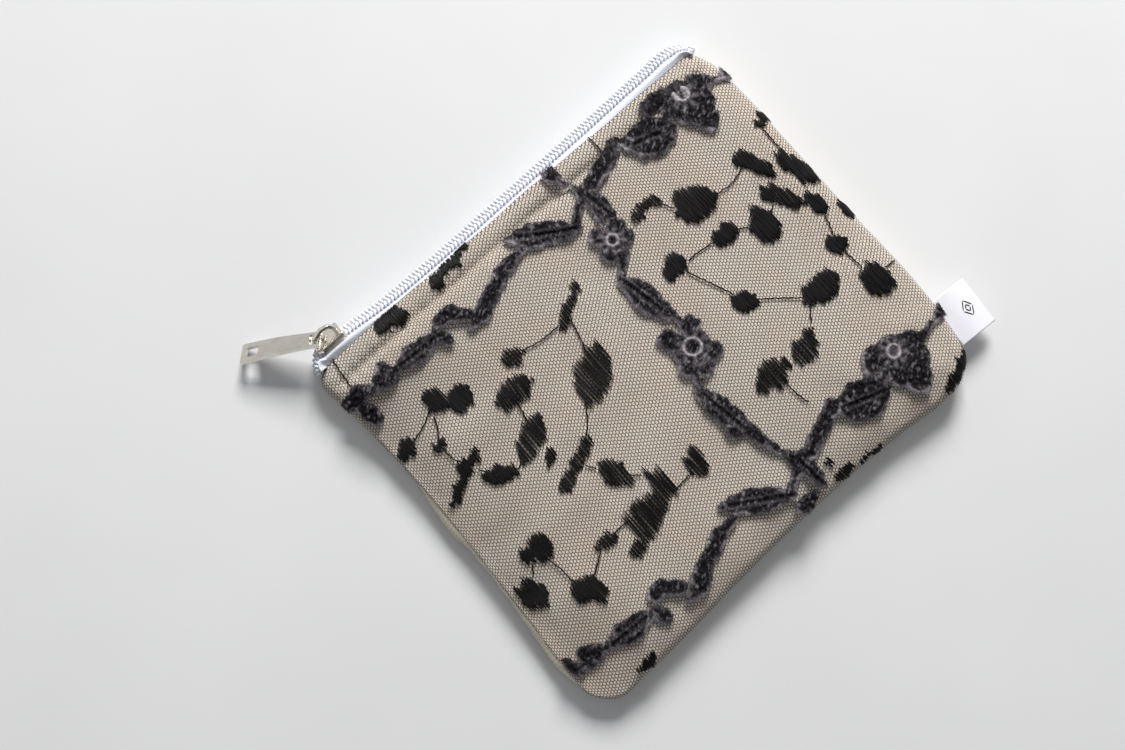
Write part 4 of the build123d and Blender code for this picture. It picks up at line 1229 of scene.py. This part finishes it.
def chain_frame(places):
    """Centre of the chain, and the directions along it, across it and out of it; its ends turn upright."""
    centre = along_path(chain_path, places)
    ahead = along_path(chain_path, np.minimum(places + 0.4, chain_length))
    behind = along_path(chain_path, np.maximum(places - 0.4, 0))
    tangent = unit(ahead - behind)
    zero = np.zeros(len(places))
    along = np.stack([tangent[:, 0], tangent[:, 1], zero], axis=1)
    out_x, out_y = -tangent[:, 1], tangent[:, 0]
    left_end = smoothstep((slider_low[0] - centre[:, 0]) / 2.5)
    right_end = 0.45 * smoothstep((centre[:, 0] - 57.3) / 3.5)
    tilt = CHAIN_TILT + (CHAIN_END_TILT - CHAIN_TILT) * np.maximum(left_end, right_end)
    s, c = np.sin(tilt), np.cos(tilt)
    across = np.stack([out_x * s, out_y * s, -c], axis=1)
    normal = np.stack([out_x * c, out_y * c, s], axis=1)
    centre = np.stack([centre[:, 0], centre[:, 1], zero + CHAIN_Z], axis=1)
    return centre, along, across, normal


def coil_piece(name, node, side):
    """One row of the nylon coil: a flattened spiral whose heads cross the middle."""
    turns = int(chain_length / COIL_PITCH) - 1
    per_turn = 18
    phase = np.linspace(0, turns, turns * per_turn + 1)
    shift = 0.25 if side < 0 else 0.75
    places = (phase + shift) * COIL_PITCH
    centre, along, across, normal = chain_frame(places)
    angle = phase * TURN
    flat_cos = np.sign(np.cos(angle)) * np.abs(np.cos(angle)) ** 0.8
    flat_sin = np.sign(np.sin(angle)) * np.abs(np.sin(angle)) ** 0.7
    reach = side * (COIL_SIDE + COIL_REACH * flat_cos)
    level = COIL_HEIGHT * flat_sin
    path = centre + across * reach[:, None] + normal * level[:, None]
    tangent = unit(np.gradient(path, axis=0))
    side_dir = unit(np.cross(tangent, along))
    other = np.cross(tangent, side_dir)
    section = polygon_section(8, 2 * COIL_WIRE, 2 * COIL_WIRE)
    points, faces = sweep(path[None], side_dir[None], other[None], section)
    make_piece(name, points, faces, nylon_coil, [node])


coil_piece("front_coil_spiral", "front_coil", -1)
coil_piece("back_coil_spiral", "back_coil", 1)


def cord_piece(name, side):
    """Filler cord that runs inside one coil."""
    places = np.linspace(0.3, chain_length - 0.3, 260)
    centre, _, across, normal = chain_frame(places)
    path = centre + across * (side * COIL_SIDE)
    section = polygon_section(8, *CORD_SECTION)
    points, faces = sweep(path[None], across[None], normal[None], section)
    make_piece(name, points, faces, white_thread)


cord_piece("front_coil_cord", -1)
cord_piece("back_coil_cord", 1)

TAPE_THICKNESS = 0.32
TAPE_HIDDEN_Y = 46.5
TAPE_END_X = 61.5
FRONT_TAPE_Z = 8.3
BACK_TAPE_Z = 1.35


def below_mouth(x, y, drop):
    """Points under the front cloth at the given distance inside the mouth."""
    flat = np.stack([x, np.full(len(x), y)], axis=1)
    points = on_front(flat, 0.0)
    points[:, 2] = np.minimum(points[:, 2] - drop, FRONT_TAPE_Z)
    points[:, 0] = x
    points[:, 1] = y
    return points


def tape_piece(name, node, stations):
    """Woven tape swept along the chain; stations give its section from one edge to the other."""
    places = np.linspace(0.2, chain_length - 0.2, 320)
    centre, _, across, normal = chain_frame(places)
    rows = []
    for kind, first, second in stations:
        if kind == "chain":
            rows.append(centre + across * first + normal * second)
        elif kind == "under":
            level = centre + across * first
            level[:, 2] = second
            rows.append(level)
        elif kind == "mouth":
            x = np.clip(centre[:, 0], -TAPE_END_X, TAPE_END_X)
            rows.append(below_mouth(x, first, second))
        else:
            x = np.clip(centre[:, 0], -TAPE_END_X, TAPE_END_X)
            rows.append(np.stack([x, np.full(len(x), first), np.full(len(x), second)], axis=1))
    control = np.stack(rows, axis=1)
    grid = np.stack([smooth_resample(line, 30) for line in control])
    half = unit(np.cross(np.gradient(grid, axis=0), np.gradient(grid, axis=1))) * TAPE_THICKNESS / 2
    points, faces = slab(grid + half, grid - half)
    return make_piece(name, points, faces, zipper_tape, [node])


def smooth_resample(line, count):
    """Even points along the smooth curve through a few stations."""
    dense = smooth_path(line, 0.25)
    return along_path(dense, np.linspace(0, arc_lengths(dense)[-1], count))


front_tape = tape_piece("front_tape_woven", "front_tape", [
    ("mouth", TAPE_HIDDEN_Y, 1.3), ("mouth", MOUTH_Y - 2.5, 1.25), ("mouth", MOUTH_Y - 0.5, 1.15),
    ("chain", -3.2, 0.1), ("chain", -2.3, -0.3), ("chain", -1.3, -0.66), ("chain", -0.4, -0.82),
])
back_tape = tape_piece("back_tape_woven", "back_tape", [
    ("chain", 0.4, -0.82), ("chain", 1.4, -0.66), ("chain", 2.4, -0.6), ("chain", 3.4, -0.95),
    ("under", 2.0, BACK_TAPE_Z + 0.4), ("under", -2.0, BACK_TAPE_Z), ("hidden", TAPE_HIDDEN_Y, BACK_TAPE_Z),
])


# ---- Ribbon label in the right seam, with a plain stitched diamond ----
label_low, label_high = node_box("side_label")
LABEL_THICKNESS = 0.13


def label_point(u, v):
    """Place on the folded ribbon: u runs from one end round the fold to the other, v across it."""
    reach = label_high[0] - label_low[0]
    away = 1 - np.abs(2 * u - 1) ** 1.15
    fold = np.sqrt(np.clip(1 - (2 * u - 1)**2, 0, 1))
    x = label_low[0] + reach * (0.75 * away + 0.25 * fold) - 0.9 * (v - 0.5) * away
    y = label_high[1] + (label_low[1] - label_high[1]) * v - 0.5 * away
    bulge = 0.5 * np.sin(math.pi * np.clip(away, 0, 1) ** 0.8) + 0.08 * away
    side = np.where(u < 0.5, 1.0, -1.0)
    sag = -0.9 * away**2 + 0.35 * np.sin(3.0 * v + 0.6) * away**2
    z = SEAM_Z + side * bulge * np.minimum(np.abs(2 * u - 1) * 6, 1) + sag
    return np.stack([x, y, z], axis=-1)


def label_pieces():
    """The ribbon, and a small diamond of black stitches on its upper face."""
    u, v = np.meshgrid(np.linspace(0, 1, 90), np.linspace(0, 1, 40))
    grid = label_point(u, v)
    half = unit(np.cross(np.gradient(grid, axis=1), np.gradient(grid, axis=0))) * LABEL_THICKNESS / 2
    points, faces = slab(grid + half, grid - half)
    cloth = make_piece("side_label_ribbon", points, faces, ribbon, ["side_label"])
    corners = [(0.0, 1.0), (1.0, 0.0), (0.0, -1.0), (-1.0, 0.0)]
    paths = []
    for index, (a, b) in enumerate(corners):
        c, d = corners[(index + 1) % 4]
        for inset in (1.0, 0.45):
            t = np.linspace(0.04, 0.96, THREAD_POINTS)
            uu = 0.27 + 0.075 * inset * (a + (c - a) * t)
            vv = 0.5 + 0.17 * inset * (b + (d - b) * t)
            paths.append(np.stack([uu, vv], axis=1))
    paths = np.array(paths)
    centre = label_point(paths[..., 0], paths[..., 1])
    up = np.zeros_like(centre)
    up[..., 2] = 1
    across = unit(np.cross(np.gradient(centre, axis=1), up))
    points, faces = sweep(centre + up * LABEL_THICKNESS / 2, across, up, HALF_ROUND * (0.3, 0.14), END_TAPER)
    mark = make_piece("label_mark_stitches", points, faces, satin_thread)
    return cloth, mark


label_cloth, label_mark = label_pieces()


# ---- Rows of seam stitches ----
STITCH_PITCH = 2.6
STITCH_LENGTH = 2.1
STITCH_WIDTH = 0.26


def stitch_piece(name, node, path, material):
    """Row of separate stitches along a line in space."""
    total = arc_lengths(path)[-1]
    starts = np.arange(0.2, total - STITCH_PITCH, STITCH_PITCH)
    t = np.linspace(0, 1, 5)
    places = starts[:, None] + t[None] * STITCH_LENGTH
    centre = along_path(path, places.ravel()).reshape(*places.shape, 3)
    along = unit(np.gradient(centre, axis=1))
    up = np.zeros_like(centre)
    up[..., 2] = 1
    across = np.cross(along, up)
    dip = np.array([-0.1, 0.0, 0.04, 0.0, -0.1])
    section = polygon_section(8, STITCH_WIDTH, STITCH_WIDTH)
    centre = centre + up * dip[None, :, None]
    points, faces = sweep(centre, across, up, section, [0.6, 1, 1, 1, 0.6])
    make_piece(name, points, faces, material, [node])


def seam_path(first, last, inset, z):
    """Part of the sewn edge between two plan points, moved inward."""
    a = np.argmin(np.linalg.norm(edge_path - first, axis=1))
    b = np.argmin(np.linalg.norm(edge_path - last, axis=1))
    part = edge_path[a:b + 1] + edge_inward[a:b + 1] * inset
    return np.concatenate([part, np.full((len(part), 1), z)], axis=1)


label_top = label_high[1] + 0.5
SEAM_ROWS = (
    ("left_seam_stitches", "left_seam_thread", (-65, 49), (-66, -49), 0.35),
    ("right_seam_stitches", "right_seam_thread", (65, label_top), (63.5, 50), 0.35),
    ("bottom_seam_stitches", "bottom_seam_thread", (-55, -58), (52, -57), 0.35),
    ("lining_seam_stitches", "lining_seam_thread", (-50, -58), (47, -57), 2.4),
)
for piece_name, node_name, row_start, row_end, inset in SEAM_ROWS:
    seam = seam_path(row_start, row_end, inset, SEAM_Z)
    stitch_piece(piece_name, node_name, seam, beige_thread)
TAPE_ROWS = (
    ("front_tape_stitches", "front_tape_thread", FRONT_TAPE_Z + 0.3),
    ("back_tape_stitches", "back_tape_thread", BACK_TAPE_Z - 0.3),
)
for piece_name, node_name, row_z in TAPE_ROWS:
    row_y = TAPE_HIDDEN_Y + 1.3
    line = np.linspace((-58, row_y, row_z), (58, row_y, row_z), 60)
    if node_name == "front_tape_thread":
        line[:, 2] = below_mouth(line[:, 0], row_y, 0.95)[:, 2]
    stitch_piece(piece_name, node_name, line, white_thread)


# ---- Metal parts keep their CAD shape ----
for node_name in ("slider_body", "slider_crown", "pull_tab"):
    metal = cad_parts[node_name]
    for slot_index in range(max(1, len(metal.material_slots))):
        if metal.material_slots:
            metal.material_slots[slot_index].material = nickel
        else:
            metal.data.materials.append(nickel)


# ---- Floor, light and camera ----
def make_floor():
    look = Look("pale_table", Roughness=0.55)
    look.shader.inputs["Specular IOR Level"].default_value = 0.3
    mottling = look.noise(120, 3)
    look.colour(look.ramp(mottling, [(0.3, linear(217, 218, 219)), (0.7, linear(223, 224, 225))]))
    look.bump(look.noise(2.0, 3), 0.01)
    half = 2.0
    mesh = bpy.data.meshes.new("floor")
    corners = [(-half, -half, 0), (half, -half, 0), (half, half, 0), (-half, half, 0)]
    mesh.from_pydata(corners, [], [(0, 1, 2, 3)])
    mesh.materials.append(look.material)
    floor = bpy.data.objects.new("floor", mesh)
    floor.location.z = -0.00003
    bpy.context.scene.collection.objects.link(floor)


def area_light(name, place, target, size, power, colour):
    data = bpy.data.lights.new(name, "AREA")
    data.shape = "RECTANGLE"
    data.size, data.size_y = size
    data.energy = power
    data.color = colour
    light = bpy.data.objects.new(name, data)
    light.location = place
    light.rotation_euler = (Vector(target) - Vector(place)).to_track_quat("-Z", "Y").to_euler()
    bpy.context.scene.collection.objects.link(light)


def make_world():
    world = bpy.data.worlds.new("studio")
    world.use_nodes = True
    tree = world.node_tree
    background = tree.nodes["Background"]
    coords = tree.nodes.new("ShaderNodeTexCoord")
    split = tree.nodes.new("ShaderNodeSeparateXYZ")
    ramp = tree.nodes.new("ShaderNodeValToRGB")
    tree.links.new(coords.outputs["Generated"], split.inputs[0])
    tree.links.new(split.outputs[2], ramp.inputs[0])
    tree.links.new(ramp.outputs[0], background.inputs["Color"])
    stops = [(0.0, (0.32, 0.26, 0.2, 1)), (0.12, (0.5, 0.46, 0.42, 1)), (0.5, (0.85, 0.88, 0.93, 1))]
    elements = ramp.color_ramp.elements
    elements.new(0.5)
    for element, (place, colour) in zip(elements, stops):
        element.position = place
        element.color = colour
    background.inputs["Strength"].default_value = 0.14
    bpy.context.scene.world = world


CAMERA_PLACE = Vector((-0.03980, -0.02111, 0.40102))
CAMERA_FORWARD = Vector((0.05459, 0.08260, -0.99509)).normalized()
CAMERA_RIGHT = Vector((0.75329, -0.65755, -0.01326)).normalized()


def make_camera():
    data = bpy.data.cameras.new("camera")
    data.lens = 50
    data.sensor_width = 36
    data.clip_start = 0.01
    camera = bpy.data.objects.new("camera", data)
    back = -CAMERA_FORWARD
    up = back.cross(CAMERA_RIGHT)
    columns = Matrix((CAMERA_RIGHT, up, back)).transposed()
    camera.matrix_world = Matrix.Translation(CAMERA_PLACE) @ columns.to_4x4()
    bpy.context.scene.collection.objects.link(camera)
    bpy.context.scene.camera = camera


make_floor()
make_world()
area_light("window", (0.90, 0.84, 0.84), (0, 0, 0), (0.55, 0.55), 33.0, (1.0, 0.985, 0.97))
area_light("ceiling", (-0.05, 0.0, 1.1), (0, 0, 0), (1.3, 1.3), 2.1, (0.98, 0.985, 1.0))
area_light("side_card", (-0.15, 0.95, 0.28), (0, 0, 0), (1.1, 0.8), 1.4, (1.0, 1.0, 1.0))
make_camera()
bpy.context.scene.view_settings.view_transform = "Standard"

bpy.context.view_layer.update()
